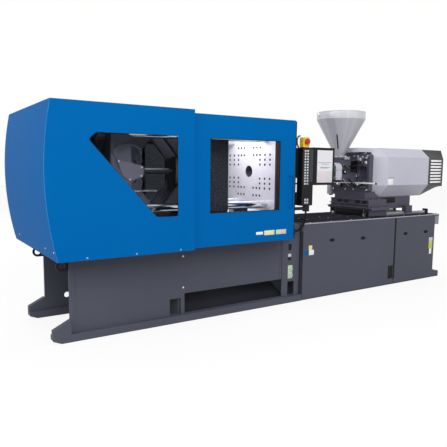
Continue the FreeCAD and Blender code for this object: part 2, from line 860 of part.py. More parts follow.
def clamp_cover_rear():
    """Rear side and roof of the clamp cover, folded from one sheet."""
    z0 = cover_top - sheet_t
    roof = box(end_curve_x(z0, sheet_t) + 1, cover_right, -guard_outer, guard_outer, z0, cover_top)
    return [join([mirrored(side_sheet(z0)), roof])]


def clamp_window():
    """Clear pane behind the slanted window."""
    left = min(x for x, _ in side_win) - 20
    right = max(x for x, _ in side_win) + 20
    low = min(z for _, z in side_win) - 20
    high = max(z for _, z in side_win) + 20
    y = -guard_outer + sheet_t
    pane = slab_y([(left, high), (right, high), (right, low), (side_win[3][0] - 25, low),
                   (left, side_win[4][1] - 25)], y, y + pane_t)
    return [pane]


def guard_frame():
    """Square-tube frame that carries the covers and the door rails."""
    pieces = []
    posts = (frame_left, mid_post_x, frame_right - post_width)
    for side in (-1, 1):
        y = sorted((side * beam_in, side * beam_out))
        pieces.append(box(frame_left, frame_right, *y, beam_top - beam_h, beam_top))
        pieces.append(box(frame_left, frame_right, *y, beam_low, beam_low + beam_h))
        for x in posts:
            pieces.append(box(x, x + post_width, *y, beam_low + beam_h, beam_top - beam_h))
        y_arm = sorted((side * plate_outer, side * beam_in))
        for x in (clamp_left, mid_post_x, frame_right - post_width):
            pieces.append(box(x, x + post_width, *y_arm, beam_low, beam_low + beam_h))
        for x in (clamp_left, mid_post_x):
            pieces.append(box(x, x + hanger_w, *y, cover_bottom + sheet_t, beam_low))
            pieces.append(box(x, x + hanger_w, *y, beam_top, cover_top - sheet_t))
    for x in (frame_left, roof_beam_x, frame_right - post_width):
        pieces.append(box(x, x + post_width, -beam_in, beam_in, beam_top - beam_h, beam_top))
    return [join(pieces)]


def door_rails():
    rails = []
    for z in (door_rail_low_z, door_rail_top_z):
        rail = box(frame_left + 10, frame_right - 5, -beam_out - door_rail_t, -beam_out, z, z + door_rail_h)
        rails += both_sides(rail)
    return rails


def door_panel():
    """Folded door panel with its window rim, finger recess and runners, on the operator side."""
    y_out = -door_outer
    y_in = y_out + door_depth
    panel = box(door_left, door_right, y_out, y_in, door_bottom, door_top)
    panel = panel.cut(box(door_left + sheet_t, door_right - sheet_t, y_out + sheet_t, y_in,
                          door_bottom + sheet_t, door_top - sheet_t))
    x0, x1, z0, z1 = door_win
    rim = box(x0 - sheet_t, x1 + sheet_t, y_out, y_in, z0 - sheet_t, z1 + sheet_t)
    tray = box(grip_left - sheet_t, grip_right + sheet_t, y_out, y_out + grip_depth + sheet_t,
               grip_low - sheet_t, grip_high + sheet_t)
    runners = []
    for z in (door_rail_low_z, door_rail_top_z):
        middle = z + door_rail_h / 2
        for x in (door_left + 15, door_right - runner_len - 5):
            block = box(x, x + runner_len, y_out + sheet_t, -runner_in,
                        middle - runner_h / 2, middle + runner_h / 2)
            groove = box(x, x + runner_len, -beam_out - door_rail_t - run_gap, -runner_in,
                         z - run_gap, z + door_rail_h + run_gap)
            runners.append(block.cut(groove))
    panel = join([panel, rim, tray] + runners)
    panel = panel.cut(box(x0, x1, y_out, y_in, z0, z1))
    return panel.cut(box(grip_left, grip_right, y_out, y_out + grip_depth, grip_low, grip_high))


def door_window():
    """Dark ring and clear pane on the inside of the door."""
    x0, x1, z0, z1 = door_win
    y_in = -door_outer + door_depth
    ring = box(x0 - window_ring, x1 + window_ring, y_in, y_in + ring_depth,
               z0 - window_ring, z1 + window_ring)
    ring = ring.cut(box(x0, x1, y_in, y_in + ring_depth, z0, z1))
    pane = box(x0 - window_ring, x1 + window_ring, y_in + ring_depth, y_in + ring_depth + pane_t,
               z0 - window_ring, z1 + window_ring)
    return [ring, pane]


# ---------------------------------------------------------------- injection base
def injection_base_frame():
    """Welded tube frame with floor rails, end stubs and the table plate on top."""
    pieces = []
    out = rail_outer - fold_depth
    post_in = out - post_size
    under = table_z - table_t
    for side in (-1, 1):
        y_rail = sorted((side * out, side * (rail_outer - rail_w)))
        y_post = sorted((side * out, side * post_in))
        pieces.append(box(base_joint, rail_right, *y_rail, 0, rail_h))
        pieces.append(box(stub_left, stub_right, *y_rail, 0, stub_h))
        pieces.append(box(base_joint, base_right - fold_depth, *y_post, under - post_size, under))
        for x in base_posts:
            pieces.append(box(x, x + post_size, *y_post, rail_h, under - post_size))
    rail_half = rail_outer - rail_w
    for x in base_posts + cabinet_beams:
        pieces.append(box(x, x + post_size, -rail_half, rail_half, 0, rail_h))
    for x in base_posts:
        pieces.append(box(x, x + post_size, -post_in, post_in, under - post_size, under))
    pieces.append(box(base_joint, table_right, -rail_outer, rail_outer, under, table_z))
    return [join(pieces)]


def folded_cover(x0, x1, z0, z1):
    """Cover sheet with folded edges, on the operator side of the injection base."""
    y = -rail_outer
    skin = box(x0, x1, y, y + sheet_t, z0, z1)
    folds = [box(x, x + fold_t, y + sheet_t, y + fold_depth, z0, z1) for x in (x0, x1 - fold_t)]
    return join([skin] + folds)


def latch_holes(places):
    return [bar_y(-rail_outer, -rail_outer + sheet_t, latch_r, x, z) for x, z in places]


def base_covers_front():
    """Long cover with the lifting notch and short cover beside it."""
    long = folded_cover(base_joint + cover_gap, cover_split - cover_gap / 2, cover_low, table_z - table_t)
    notch = box(notch_left, cover_split - cover_gap, -rail_outer, -rail_outer + fold_depth,
                notch_low, notch_high)
    short = folded_cover(cover_split + cover_gap / 2, base_right, cover_low, table_z - table_t)
    places = list(zip(latch_x, latch_z))
    return [long.cut([notch] + latch_holes(places[:2])), short.cut(latch_holes(places[2:]))]


def base_covers_rear():
    """Rear and end covers of the injection base."""
    rear = mirrored(folded_cover(base_joint + cover_gap, base_right, cover_low, table_z - table_t))
    half = rail_outer - fold_depth
    end = box(base_right - sheet_t, base_right, -half, half, stub_h + 5, table_z - table_t)
    return [rear, end]


def end_socket_box():
    """Closed socket box that hangs from the table beside the end cover."""
    top = table_z - table_t
    shell = box(base_right, base_right + socket_box_reach, -rail_outer, -rail_outer + socket_box_w,
                top - socket_box_h, top)
    return [round_edges(shell, 6, lambda a, b: along(0)(a, b) and a.z < top - 1)]


def latch(index):
    """Flush quarter-turn latch: a slotted knob in the cover's hole."""
    x = latch_x[index]
    z = latch_z[index]
    knob = bar_y(-rail_outer - 1.5, -rail_outer + sheet_t, latch_r - run_gap, x, z)
    slot = box(x - 2.5, x + 2.5, -rail_outer - 1.5, -rail_outer, z - 10, z + 10)
    return [knob.cut(slot)]


def control_cabinet():
    """Closed box of servo drives that stands on the floor beams of the injection base."""
    shell = box(cabinet_left, cabinet_right, -cabinet_half, cabinet_half, rail_h, cabinet_top)
    return [round_edges(shell, 12, along(2))]


def carriage_rails():
    inner = guide_rail_y - guide_rail_w / 2
    rail = box(guide_rail_left, guide_rail_right, -inner - guide_rail_w, -inner,
               table_z, table_z + guide_rail_h)
    return both_sides(rail)


# ---------------------------------------------------------------- injection unit
def carriage_base():
    """Cast carriage with its lip, saddle, pedestal and guide blocks."""
    span = (carriage_left, carriage_front_right)
    slab = box(*span, -carriage_half, carriage_half, carriage_low, carriage_high)
    lip = box(*span, -lip_half, lip_half, carriage_low, carriage_low + lip_h)
    saddle = slab_y([(carriage_left, carriage_high), (carriage_front_right, carriage_high),
                     (carriage_left + front_plate_t + 60, plate_low), (carriage_left, plate_low)],
                    -saddle_half, saddle_half)
    pedestal = box(carriage_front_right, carriage_right, -pedestal_half, pedestal_half,
                   carriage_low, pedestal_top)
    well = box(carriage_front_right + well_end, carriage_right - well_end,
               -pedestal_half + well_side, pedestal_half - well_side,
               carriage_low + well_floor, pedestal_top)
    rear_post = box(rear_plate_x, rear_plate_x + rear_plate_t, -pedestal_half + 50, pedestal_half - 50,
                    carriage_low, axis_z - drive_half_h)
    skirt = box(*span, -skirt_half, -skirt_half + skirt_t, table_z + skirt_gap, carriage_low)
    pieces = [slab, lip, saddle, pedestal.cut(well), rear_post] + both_sides(skirt)
    rail_top = table_z + guide_rail_h
    for y in (-guide_rail_y, guide_rail_y):
        for x in (carriage_left + 20, carriage_right - block_len - 30):
            block = box(x, x + block_len, y - block_w / 2, y + block_w / 2, table_z + 14, carriage_low)
            half = guide_rail_w / 2 + run_gap
            pieces.append(block.cut(box(x, x + block_len, y - half, y + half, table_z, rail_top + run_gap)))
    for side in (-1, 1):
        y = sorted((side * pedestal_half, side * (guide_rail_y + block_w / 2)))
        x = carriage_right - block_len - 30
        pieces.append(box(x, x + block_len, *y, carriage_low, carriage_low + lip_h))
    return [join(pieces)]


def rod_places():
    return [(y, z) for y in (-guide_rod_y, guide_rod_y) for z in (-guide_rod_z, guide_rod_z)]


def injection_front_plate():
    """Cast front plate with ribs, and the bright bar across it."""
    x1 = carriage_left + front_plate_t
    plate = box(carriage_left, x1, -front_plate_half, front_plate_half, plate_low, front_plate_top)
    plate = round_edges(plate, 30, along(0))
    ribs = []
    for side in (-1, 1):
        for z in (plate_low + 40, axis_z + 60):
            y = sorted((side * (throat_half + 20), side * (front_plate_half - 30)))
            ribs.append(box(carriage_left - 25, carriage_left, *y, z, z + 25))
    bosses = [bar_x(carriage_left - rod_boss_h, carriage_left, rod_boss_r, y, axis_z + z)
              for y, z in rod_places()]
    plate = join([plate] + ribs + bosses)
    pocket = box(carriage_left, carriage_left + pocket_depth, -pocket_side[1], -pocket_side[0], *pocket_z)
    pocket = round_edges(pocket, 18, along(0))
    return [plate.cut([bar_x(carriage_left, x1, barrel_r + 10)] + both_sides(pocket)), cross_bar()]


def cross_bar():
    """Bright stop bar on two stand-offs across the front plate."""
    z = throat_low - bar_r - run_gap
    x = carriage_left - bar_gap
    bar = bar_y(-bar_front, bar_back, bar_r, x, z)
    stands = [bar_x(x, carriage_left, bar_stand_r, y, z)
              for y in (-front_plate_half + 60, front_plate_half - 60)]
    return join([bar] + stands)


def throat_block():
    """Water-cooled feed throat with the shutter housing on top."""
    block = box(throat_left, carriage_left, -throat_half, throat_half, throat_low, throat_high)
    block = round_edges(block, 20, along(2))
    half = housing_half
    housing = box(hopper_x - half, hopper_x + half, -half, half, throat_high, hopper_seat)
    block = join([block, housing])
    cuts = [bar_x(throat_left, carriage_left, barrel_r + run_gap),
            bar_z(axis_z, hopper_cone_low, feed_r, hopper_x, 0)]
    cuts.append(box(hopper_x - shutter_half - run_gap, hopper_x + shutter_half + run_gap, -half, half,
                    throat_high + 6, throat_high + 6 + shutter_t + 2 * run_gap))
    return [block.cut(cuts)]


def throat_cover():
    """Light hood over the barrel's flange, open below, screwed to the throat block."""
    x0 = throat_left - throat_cover_len
    t = throat_cover_t
    half = throat_cover_half
    top = throat_cover_high

    def upper(a, b):
        return along(0)(a, b) and min(a.z, b.z) > axis_z

    hood = round_edges(box(x0, throat_left, -half, half, throat_cover_low, top), throat_cover_r, upper)
    inside = box(x0, throat_left - t, -half + t, half - t, throat_cover_low, top - t)
    inside = round_edges(inside, throat_cover_r - t, upper)
    return [hood.cut([inside, bar_x(throat_left - t, throat_left, flange_r + 1)])]


def barrel():
    """Heated barrel with its flange, and the nozzle screwed into it."""
    tube = bar_x(barrel_left + nozzle_len, barrel_right, barrel_r)
    flange = bar_x(throat_left - 30, throat_left, flange_r)
    tube = join([tube, flange])
    tube = tube.cut([bar_x(barrel_left + nozzle_len + 20, barrel_right, screw_r + run_gap),
                     bar_z(axis_z, axis_z + barrel_r + 5, feed_r - 5, hopper_x, 0)])
    root = barrel_left + nozzle_len
    shank = barrel_r - 8
    tip = Part.makeCone(nozzle_tip_r, shank, nozzle_len - nozzle_shank,
                        Vec(barrel_left, 0, axis_z), Vec(1, 0, 0))
    nozzle = join([tip, bar_x(root - nozzle_shank, root, shank)])
    return [tube, nozzle.cut(bar_x(barrel_left, root, 3))]


def heater_bands():
    bands = []
    for i in range(band_count):
        x = band_first + i * (band_len + band_gap)
        band = bar_x(x, x + band_len, band_r)
        bands.append(band.cut(bar_x(x, x + band_len, barrel_r)))
    return bands


def plasticising_screw():
    """Screw shank and body. The flights turn inside the closed barrel."""
    body = bar_x(barrel_left + nozzle_len + 60, drive_x, screw_r)
    tip = Part.makeCone(3, screw_r, 30, Vec(barrel_left + nozzle_len + 30, 0, axis_z), Vec(1, 0, 0))
    return [join([tip, body])]


def hopper():
    """Cone hopper of thin sheet with its rim band, spout, flange and sight slot."""
    r_in = hopper_wall
    flange_top = hopper_seat + hopper_flange_t
    profile = [(hopper_flange_r, hopper_seat), (hopper_flange_r, flange_top), (spout_r, flange_top),
               (spout_r, hopper_cone_low), (hopper_rim_r, hopper_rim_low), (hopper_rim_r, hopper_rim_high),
               (hopper_rim_r - r_in, hopper_rim_high), (hopper_rim_r - r_in, hopper_rim_low + 1),
               (spout_r - r_in, hopper_cone_low + 1), (spout_r - r_in, hopper_seat)]
    shell = turned(profile, hopper_x, 0)
    slot = box(-sight_half, sight_half, -hopper_rim_r, 0, sight_low, sight_high)
    slot.rotate(Vec(0, 0, 0), Vec(0, 0, 1), sight_angle)
    slot.translate(Vec(hopper_x, 0, 0))
    return [shell.cut(slot)]


def hopper_lid():
    """Flat lid that rests on the hopper's rim."""
    return [bar_z(hopper_rim_high, hopper_rim_high + lid_t, hopper_rim_r, hopper_x, 0)]


def hopper_shutter():
    """Slide that closes the hopper, with a turned-up grip."""
    z0 = throat_high + 6 + run_gap
    side = (hopper_x - shutter_half, hopper_x + shutter_half)
    plate = box(*side, -shutter_front, shutter_back, z0, z0 + shutter_t)
    grip = box(*side, -shutter_front - shutter_grip_t, -shutter_front, z0, z0 + shutter_grip_h)
    hole = bar_z(z0, z0 + shutter_t, feed_r, hopper_x, 0)
    return [join([plate, grip]).cut(hole)]


def injection_rear_frame():
    """Guide rods, rear plate and the injection motor behind it."""
    x0 = carriage_left + front_plate_t
    plate = box(rear_plate_x, rear_plate_x + rear_plate_t, -drive_half_w, drive_half_w,
                axis_z - drive_half_h, axis_z + drive_half_h)
    plate = plate.cut(bar_x(rear_plate_x, rear_plate_x + rear_plate_t, inj_screw_r + run_gap))
    rods = [bar_x(x0, rear_plate_x, guide_rod_r, y, axis_z + z) for y, z in rod_places()]
    x1 = rear_plate_x + rear_plate_t
    motor = bar_x(x1, x1 + inj_motor_len, inj_motor_r)
    motor = motor.cut(bar_x(x1, x1 + 30, inj_screw_r + run_gap))
    return [join([plate] + rods), motor]


def drive_plate():
    """Plate that pushes the screw, with the plasticising motor and the ball nut."""
    plate = box(drive_x, drive_x + drive_t, -drive_half_w, drive_half_w,
                axis_z - drive_half_h, axis_z + drive_half_h)
    plate = plate.cut([bar_x(drive_x, drive_x + drive_t, guide_rod_r + run_gap, y, axis_z + z)
                       for y, z in rod_places()])
    x1 = drive_x + drive_t
    motor = bar_x(x1, x1 + drive_motor_len, drive_motor_r)
    nut_x = x1 + drive_motor_len
    nut = bar_x(nut_x, nut_x + 40, inj_screw_r + 25)
    body = join([plate, motor, nut])
    return [body.cut(bar_x(drive_x + drive_t, nut_x + 40, inj_screw_r + run_gap))]


def injection_screw():
    """Ball screw of the injection drive."""
    start = drive_x + drive_t + drive_motor_len + 0.5
    return [bar_x(start, rear_plate_x + rear_plate_t + 28, inj_screw_r)]


def hood_section(x, half, low, high, top_half, top, foot_half, foot):
    """Eight-sided section of the drive cover at one place along X."""
    right = [(foot_half, foot), (half, low), (half, high), (top_half, top)]
    left = [(-y, z) for y, z in reversed(right)]
    return [(x, y, z) for y, z in right + left]


def hood_solid(wall):
    front = hood_section(hood_left, hood_front_half - wall, hood_side_low + wall, hood_side_high - wall,
                         hood_top_half - 60 - wall, hood_top - 5 - wall, hood_foot_half - 60 - wall,
                         hood_foot + 30 + wall)
    full = (hood_half - wall, hood_side_low + wall / 2, hood_side_high - wall / 2,
            hood_top_half - wall / 2, hood_top - wall, hood_foot_half - wall / 2, hood_foot + wall)
    return join([loft([front, hood_section(hood_full, *full)]),
                 loft([hood_section(hood_full, *full), hood_section(hood_right, *full)])])


def injection_cover():
    """Moulded light cover over the injection drive, open below, with a visor in front."""
    shell = hood_solid(0).cut(hood_solid(cover_wall))
    slot = box(hood_left - 1, hood_right + 1, -hood_foot_half + 10, hood_foot_half - 10,
               hood_foot - 1, hood_foot + 60)
    visor = box(visor_left, hood_left + 20, -visor_half, visor_half, hood_top - 5 - cover_wall, hood_top - 5)
    lips = [box(visor_left, hood_left + 20, *sorted((side * visor_half, side * (visor_half - cover_wall))),
                visor_low, hood_top - 5) for side in (-1, 1)]
    end = box(visor_end, visor_end + cover_wall, -visor_half, visor_half, front_plate_top + 2, hood_top - 5)
    hollow = hood_solid(cover_wall)
    visor = join([visor, end] + lips).cut(hollow)
    return [join([shell.cut(slot), visor])]


def injection_end_cap():
    """Dark tapered end cap with louvre openings on both sides."""
    full = (hood_half, hood_side_low, hood_side_high, hood_top_half, hood_top, hood_foot_half, hood_foot)
    end = (cap_half, cap_low + 5, cap_high, hood_top_half, cap_top, hood_foot_half - 30, cap_low)
    outer = loft([hood_section(hood_right, *full), hood_section(cap_right, *end)])
    w = cover_wall
    full_in = (hood_half - w, hood_side_low + w, hood_side_high - w, hood_top_half - w, hood_top - w,
               hood_foot_half - w, hood_foot + w)
    end_in = (cap_half - w, cap_low + 5 + w, cap_high - w, hood_top_half - w, cap_top - w,
              hood_foot_half - 30 - w, cap_low + w)
    inner = loft([hood_section(hood_right, *full_in), hood_section(cap_right - w, *end_in)])
    shell = outer.cut(inner)
    slots = [box(louvre_left, cap_right - 30, -hood_half, hood_half,
                 louvre_first + i * louvre_pitch, louvre_first + i * louvre_pitch + louvre_h)
             for i in range(louvre_count)]
    return [shell.cut(slots)]


# ---------------------------------------------------------------- operator panel
def hmi_bracket():
    """Arm from the fixed platen to the panel's pivot, and the conduit's gland box."""
    pad = box(*arm_pad, -platen_half_w - 12, -platen_half_w, arm_low, arm_low + arm_pad_h)
    arm = box(arm_left, pivot_x, pivot_y - 20, -platen_half_w - 12, arm_low, arm_low + arm_thick)
    boss = bar_z(arm_low - 15, slab_low - run_gap, 32, pivot_x, pivot_y)
    arm = join([pad, arm, boss]).cut(bar_z(arm_low, slab_low, 20 + run_gap, pivot_x, pivot_y))
    gland = box(gland_left, gland_right, pivot_y - 30, -plate_outer, conduit_z - 30, conduit_z + 30)
    gland = round_edges(gland, 6, along(1))
    return [arm, gland]


def routed(points):
    """Straight runs joined by tangent arcs, each as large as its two runs allow."""
    edges = []
    here = points[0]
    for before, corner, after in zip(points, points[1:], points[2:]):
        back = (before - corner).normalize()
        ahead = (after - corner).normalize()
        half_turn = (math.pi - back.getAngle(ahead)) / 2
        reach = 0.45 * min(before.distanceToPoint(corner), corner.distanceToPoint(after))
        radius = reach / math.tan(half_turn)
        inward = (back + ahead).normalize()
        middle = corner + inward * (radius / math.cos(half_turn) - radius)
        edges.append(line(here, corner + back * reach))
        here = corner + ahead * reach
        edges.append(Part.Arc(corner + back * reach, middle, here).toShape())
        print("conduit bend radius", round(radius))
    edges.append(line(here, points[-1]))
    return Part.Wire(edges)


def hmi_conduit():
    """Cable conduit from the pivot down and round to the gland box."""
    start = Vec(pivot_x, pivot_y, arm_low - 15)
    turns = [Vec(x, pivot_y, z) for x, z in conduit_turns]
    path = routed([start] + turns + [Vec(gland_right, pivot_y, conduit_z)])
    section = Part.Wire([Part.makeCircle(conduit_r, start, Vec(0, 0, -1))])
    tube = path.makePipeShell([section], True, False)
    full = math.pi * conduit_r**2 * path.Length
    print("conduit length", round(path.Length, 1), "volume share", round(tube.Volume / full, 3))
    return [tube]


def hmi_housing():
    """Panel slab with the screen unit beside it and the hollow pivot below."""
    y0 = panel_front
    slab = box(slab_left, slab_right, y0, y0 + slab_t, slab_low, slab_high)
    slab = round_edges(slab, 10, along(1))
    unit = box(slab_right, screen_right, y0, y0 + screen_t, screen_low, screen_high)
    x0 = slab_right + screen_side
    unit = unit.cut(box(x0, screen_right - screen_rim, y0, y0 + 3,
                        screen_low + screen_rim, screen_high - screen_rim))
    pivot = bar_z(arm_low + run_gap, slab_low, 20, pivot_x, pivot_y)
    body = join([slab, unit, pivot])
    return [body.cut(bar_z(arm_low, slab_low, conduit_r, pivot_x, pivot_y))]


def hmi_screen():
    y0 = panel_front
    rim = screen_rim
    return [box(slab_right + screen_side, screen_right - rim, y0 + 1, y0 + 3,
                screen_low + rim, screen_high - rim)]


def estop_base():
    """Yellow box of the emergency-stop button on the panel's top edge."""
    y0 = panel_front
    body = box(stop_x - stop_half, stop_x + stop_half, y0, y0 + stop_depth, slab_high, stop_z + stop_half)
    body = round_edges(body, 8, along(1))
    return [body.cut(bar_y(y0, y0 + 20, 11 + run_gap, stop_x, stop_z))]


def estop_button():
    """Red mushroom head on its stem."""
    y0 = panel_front
    head = bar_y(y0 - 26, y0 - 8, stop_r, stop_x, stop_z)
    edges = [e for e in head.Edges if abs(e.BoundBox.YMax - (y0 - 26)) < 0.01]
    head = head.makeFillet(7, edges)
    stem = bar_y(y0 - 8, y0 + 12, 11, stop_x, stop_z)
    return [join([head, stem])]


# ---------------------------------------------------------------- export
nodes = {
    "clamp_base_frame": clamp_base_frame(),
    "lifting_lugs": lifting_lugs(),
    "parts_chute": parts_chute(),
    "water_fittings": water_fittings(),
    "platen_ways": platen_ways(),
    "fixed_platen": fixed_platen(),
    "tie_bars": tie_bars(),
    "guard_frame": guard_frame(),
    "clamp_cover_front": clamp_cover_front(),
    "clamp_cover_rear": clamp_cover_rear(),
    "clamp_cover_end": clamp_cover_end(),
    "clamp_window": clamp_window(),
    "door_rails": door_rails(),
    "injection_base_frame": injection_base_frame(),
    "base_covers_front": base_covers_front(),
    "base_covers_rear": base_covers_rear(),
    "end_socket_box": end_socket_box(),
    "control_cabinet": control_cabinet(),
    "carriage_rails": carriage_rails(),
    "hmi_bracket": hmi_bracket(),
    "hmi_conduit": hmi_conduit(),
    "front_door": [door_panel()],
    "front_door_window": door_window(),
    "rear_door": [mirrored(door_panel())],
    "rear_door_window": [mirrored(piece) for piece in door_window()],
    "tailstock_platen": tailstock_platen(),
    "clamp_motor": clamp_motor(),
    "ball_screw": ball_screw(),
    "rear_link_upper": rear_link(1),
    "rear_link_lower": rear_link(-1),
    "front_link_upper": front_link(1),
    "front_link_lower": front_link(-1),
    "crosshead_link_upper": crosshead_link(1),
    "crosshead_link_lower": crosshead_link(-1),
    "crosshead": crosshead(),
    "moving_platen": moving_platen(),
    "ejector_plate": ejector_plate(),
    "carriage_base": carriage_base(),
    "injection_front_plate": injection_front_plate(),
    "throat_block": throat_block(),
    "throat_cover": throat_cover(),
    "barrel": barrel(),
    "heater_bands": heater_bands(),
    "plasticising_screw": plasticising_screw(),
    "hopper": hopper(),
    "hopper_lid": hopper_lid(),
    "hopper_shutter": hopper_shutter(),
    "injection_rear_frame": injection_rear_frame(),
    "drive_plate": drive_plate(),
    "injection_screw": injection_screw(),
    "injection_cover": injection_cover(),
    "injection_end_cap": injection_end_cap(),
    "hmi_housing": hmi_housing(),
    "hmi_screen": hmi_screen(),
    "estop_base": estop_base(),
    "estop_button": estop_button(),
}
for index in range(len(latch_x)):
    nodes["base_latch_%d" % (index + 1)] = latch(index)

for name, solids in nodes.items():
    shape = solids[0] if len(solids) == 1 else Part.makeCompound(solids)
    shape.exportStep("parts/%s.step" % name)
print(len(nodes), "nodes")
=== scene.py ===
# %% [markdown]
# An injection moulding machine stands on a plain pale floor in studio light. Its steel
# frame, sheet covers, castings and moving pieces come ready made as a fixed model. This
# script gives each of them its real finish and adds what is too fine for that model:
# screws, gaskets, threads, keys, plain label fields and ribbed conduit. +X runs from the
# clamp to the injection end, the operator stands at -Y and +Z is up. Blender counts in
# metres, while the places and sizes of pieces are given in millimetres, as on a drawing.

# %% Load the model and note its size
import math

import bmesh
import bpy
from mathutils import Euler, Matrix, Quaternion, Vector


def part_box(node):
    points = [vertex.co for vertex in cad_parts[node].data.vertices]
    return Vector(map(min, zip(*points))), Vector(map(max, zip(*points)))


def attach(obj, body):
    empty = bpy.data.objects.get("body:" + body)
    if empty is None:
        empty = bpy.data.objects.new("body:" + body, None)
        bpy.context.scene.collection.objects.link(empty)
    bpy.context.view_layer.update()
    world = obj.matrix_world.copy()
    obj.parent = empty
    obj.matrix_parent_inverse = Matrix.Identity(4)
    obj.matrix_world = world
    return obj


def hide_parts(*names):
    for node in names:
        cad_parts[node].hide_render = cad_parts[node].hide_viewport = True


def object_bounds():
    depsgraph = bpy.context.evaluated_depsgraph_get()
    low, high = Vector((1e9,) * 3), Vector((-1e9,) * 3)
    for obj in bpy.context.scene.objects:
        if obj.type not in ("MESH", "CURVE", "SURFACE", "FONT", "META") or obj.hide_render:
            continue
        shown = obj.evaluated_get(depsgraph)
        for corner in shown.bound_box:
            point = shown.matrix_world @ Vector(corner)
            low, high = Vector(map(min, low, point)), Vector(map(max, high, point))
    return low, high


MM = 0.001

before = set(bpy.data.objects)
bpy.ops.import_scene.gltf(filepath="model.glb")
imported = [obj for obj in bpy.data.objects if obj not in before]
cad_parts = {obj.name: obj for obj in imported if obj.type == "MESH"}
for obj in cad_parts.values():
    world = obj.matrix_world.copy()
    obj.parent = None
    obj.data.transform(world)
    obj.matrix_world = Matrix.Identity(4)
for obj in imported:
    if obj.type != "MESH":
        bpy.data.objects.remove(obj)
model_box = [list(corner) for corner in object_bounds()]
print("model box", [[round(x, 3) for x in corner] for corner in model_box])

# %% [markdown]
# The photograph was taken from the operator side, from beyond the clamp end, at about the
# height of the machine's axis. A camera in Blender looks along its own -Z, so it starts
# level, is turned about the upright axis, tipped down, and last rolled about its own line
# of sight. The lens follows from the field of view, with no shift and no blur.

# %% Camera
EYE = (-2.887, -3.969, 1.280)
TURN = 0.580
TIP = 0.1126
ROLL = 0.0092
LENS_MM = 40.63

bpy.ops.object.camera_add(location=EYE)
camera = bpy.context.object
camera.rotation_mode = "QUATERNION"
level = Euler((math.pi / 2 - TIP, 0, -TURN)).to_quaternion()
camera.rotation_quaternion = level @ Quaternion((0, 0, 1), ROLL)
camera.data.lens = LENS_MM
camera.data.sensor_width = 36
bpy.context.scene.camera = camera
print("camera at", EYE)

# %% [markdown]
# Colours are picked as they look on a screen, which is the sRGB scale, but a shader counts
# light, which is linear. One function turns a hex colour into linear light. Another adds
# any node with its settings and links, so that each finish below reads as a list of what
# the real surface does. A third starts a material with its plain values, and gives the
# place on the piece that every pattern reads.

# %% Colour and node helpers
def linear(hex_colour):
    """Linear red, green, blue and alpha of an sRGB hex colour."""
    parts = [int(hex_colour[i:i + 2], 16) / 255 for i in (1, 3, 5)]
    light = [c / 12.92 if c <= 0.04045 else ((c + 0.055) / 1.055) ** 2.4 for c in parts]
    return (*light, 1.0)


def add(tree, kind, values=(), links=(), **settings):
    """Add a node, fill its sockets, link sources into it and return it."""
    made = tree.nodes.new(kind)
    for name, value in settings.items():
        setattr(made, name, value)
    for socket, value in dict(values).items():
        made.inputs[socket].default_value = value
    for socket, source in dict(links).items():
        tree.links.new(source, made.inputs[socket])
    return made


def new_finish(name, colour, roughness, metallic=0.0, **sockets):
    """A material with plain values set, its tree, its shader and the place on the piece."""
    finish = bpy.data.materials.new(name)
    finish.use_nodes = True
    tree = finish.node_tree
    shader = tree.nodes["Principled BSDF"]
    shader.inputs["Base Color"].default_value = linear(colour)
    shader.inputs["Roughness"].default_value = roughness
    shader.inputs["Metallic"].default_value = metallic
    for socket, value in sockets.items():
        shader.inputs[socket.replace("_", " ").title().replace("Ior", "IOR")].default_value = value
    return finish, tree, shader, add(tree, "ShaderNodeTexCoord").outputs["Object"]


def shows_plainly(tree):
    """1 for what the camera, a reflection or a clear pane shows, 0 for all other light."""
    rays = add(tree, "ShaderNodeLightPath").outputs
    mirrored = add(tree, "ShaderNodeMath", links={0: rays["Is Camera Ray"], 1: rays["Is Glossy Ray"]},
                   operation="MAXIMUM")
    return add(tree, "ShaderNodeMath", links={0: mirrored.outputs[0], 1: rays["Is Transmission Ray"]},
               operation="MAXIMUM").outputs[0]


# %% [markdown]
# A product picture is lit by large soft lamps in a white room. The world gives the even
# part. It shows as white to the camera and in reflections, while it lights the machine
# at a lower level, so that no colour washes out. Three large panels add the direction:
# a key from the front and above, a fill from the clamp end and a weak one from behind.

# %% World and lamps
AMBIENT = 0.62

world = bpy.data.worlds.new("white studio")
bpy.context.scene.world = world
world.use_nodes = True
tree = world.node_tree
light = add(tree, "ShaderNodeBackground", {"Color": linear("#FFFFFF"), "Strength": AMBIENT})
white = add(tree, "ShaderNodeBackground", {"Color": linear("#FFFFFF"), "Strength": 1.0})
either = add(tree, "ShaderNodeMixShader",
             links={0: shows_plainly(tree), 1: light.outputs[0], 2: white.outputs[0]})
tree.links.new(either.outputs[0], tree.nodes["World Output"].inputs["Surface"])


def panel_lamp(name, place, target, size, watts):
    """A square soft lamp that faces a point."""
    bpy.ops.object.light_add(type="AREA", location=place)
    lamp = bpy.context.object
    lamp.name = name
    lamp.data.size = size
    lamp.data.energy = watts
    lamp.rotation_mode = "QUATERNION"
    lamp.rotation_quaternion = (Vector(target) - Vector(place)).to_track_quat("-Z", "Y")
    return lamp


middle = (Vector(model_box[0]) + Vector(model_box[1])) / 2
panel_lamp("key_lamp", (-2.5, -7.5, 5.5), middle, 5.0, 420)
panel_lamp("clamp_end_lamp", (-8.0, -2.0, 4.5), middle, 4.0, 170)
panel_lamp("rear_lamp", (2.5, 7.0, 5.5), middle, 5.0, 220)
bpy.context.scene.view_settings.view_transform = "Standard"

# %% [markdown]
# The floor is white paper in effect: the camera sees it nearly as bright as the room, but
# it keeps the soft shadow below the machine. Most of what the camera sees is plain white
# and the rest is the lit surface. Other light meets only the lit surface in a light grey,
# so that the floor adds no more to the machine's undersides than a real floor would.

# %% Floor
FLOOR_SIZE = 60.0
FLOOR_WHITE_SHARE = 0.86

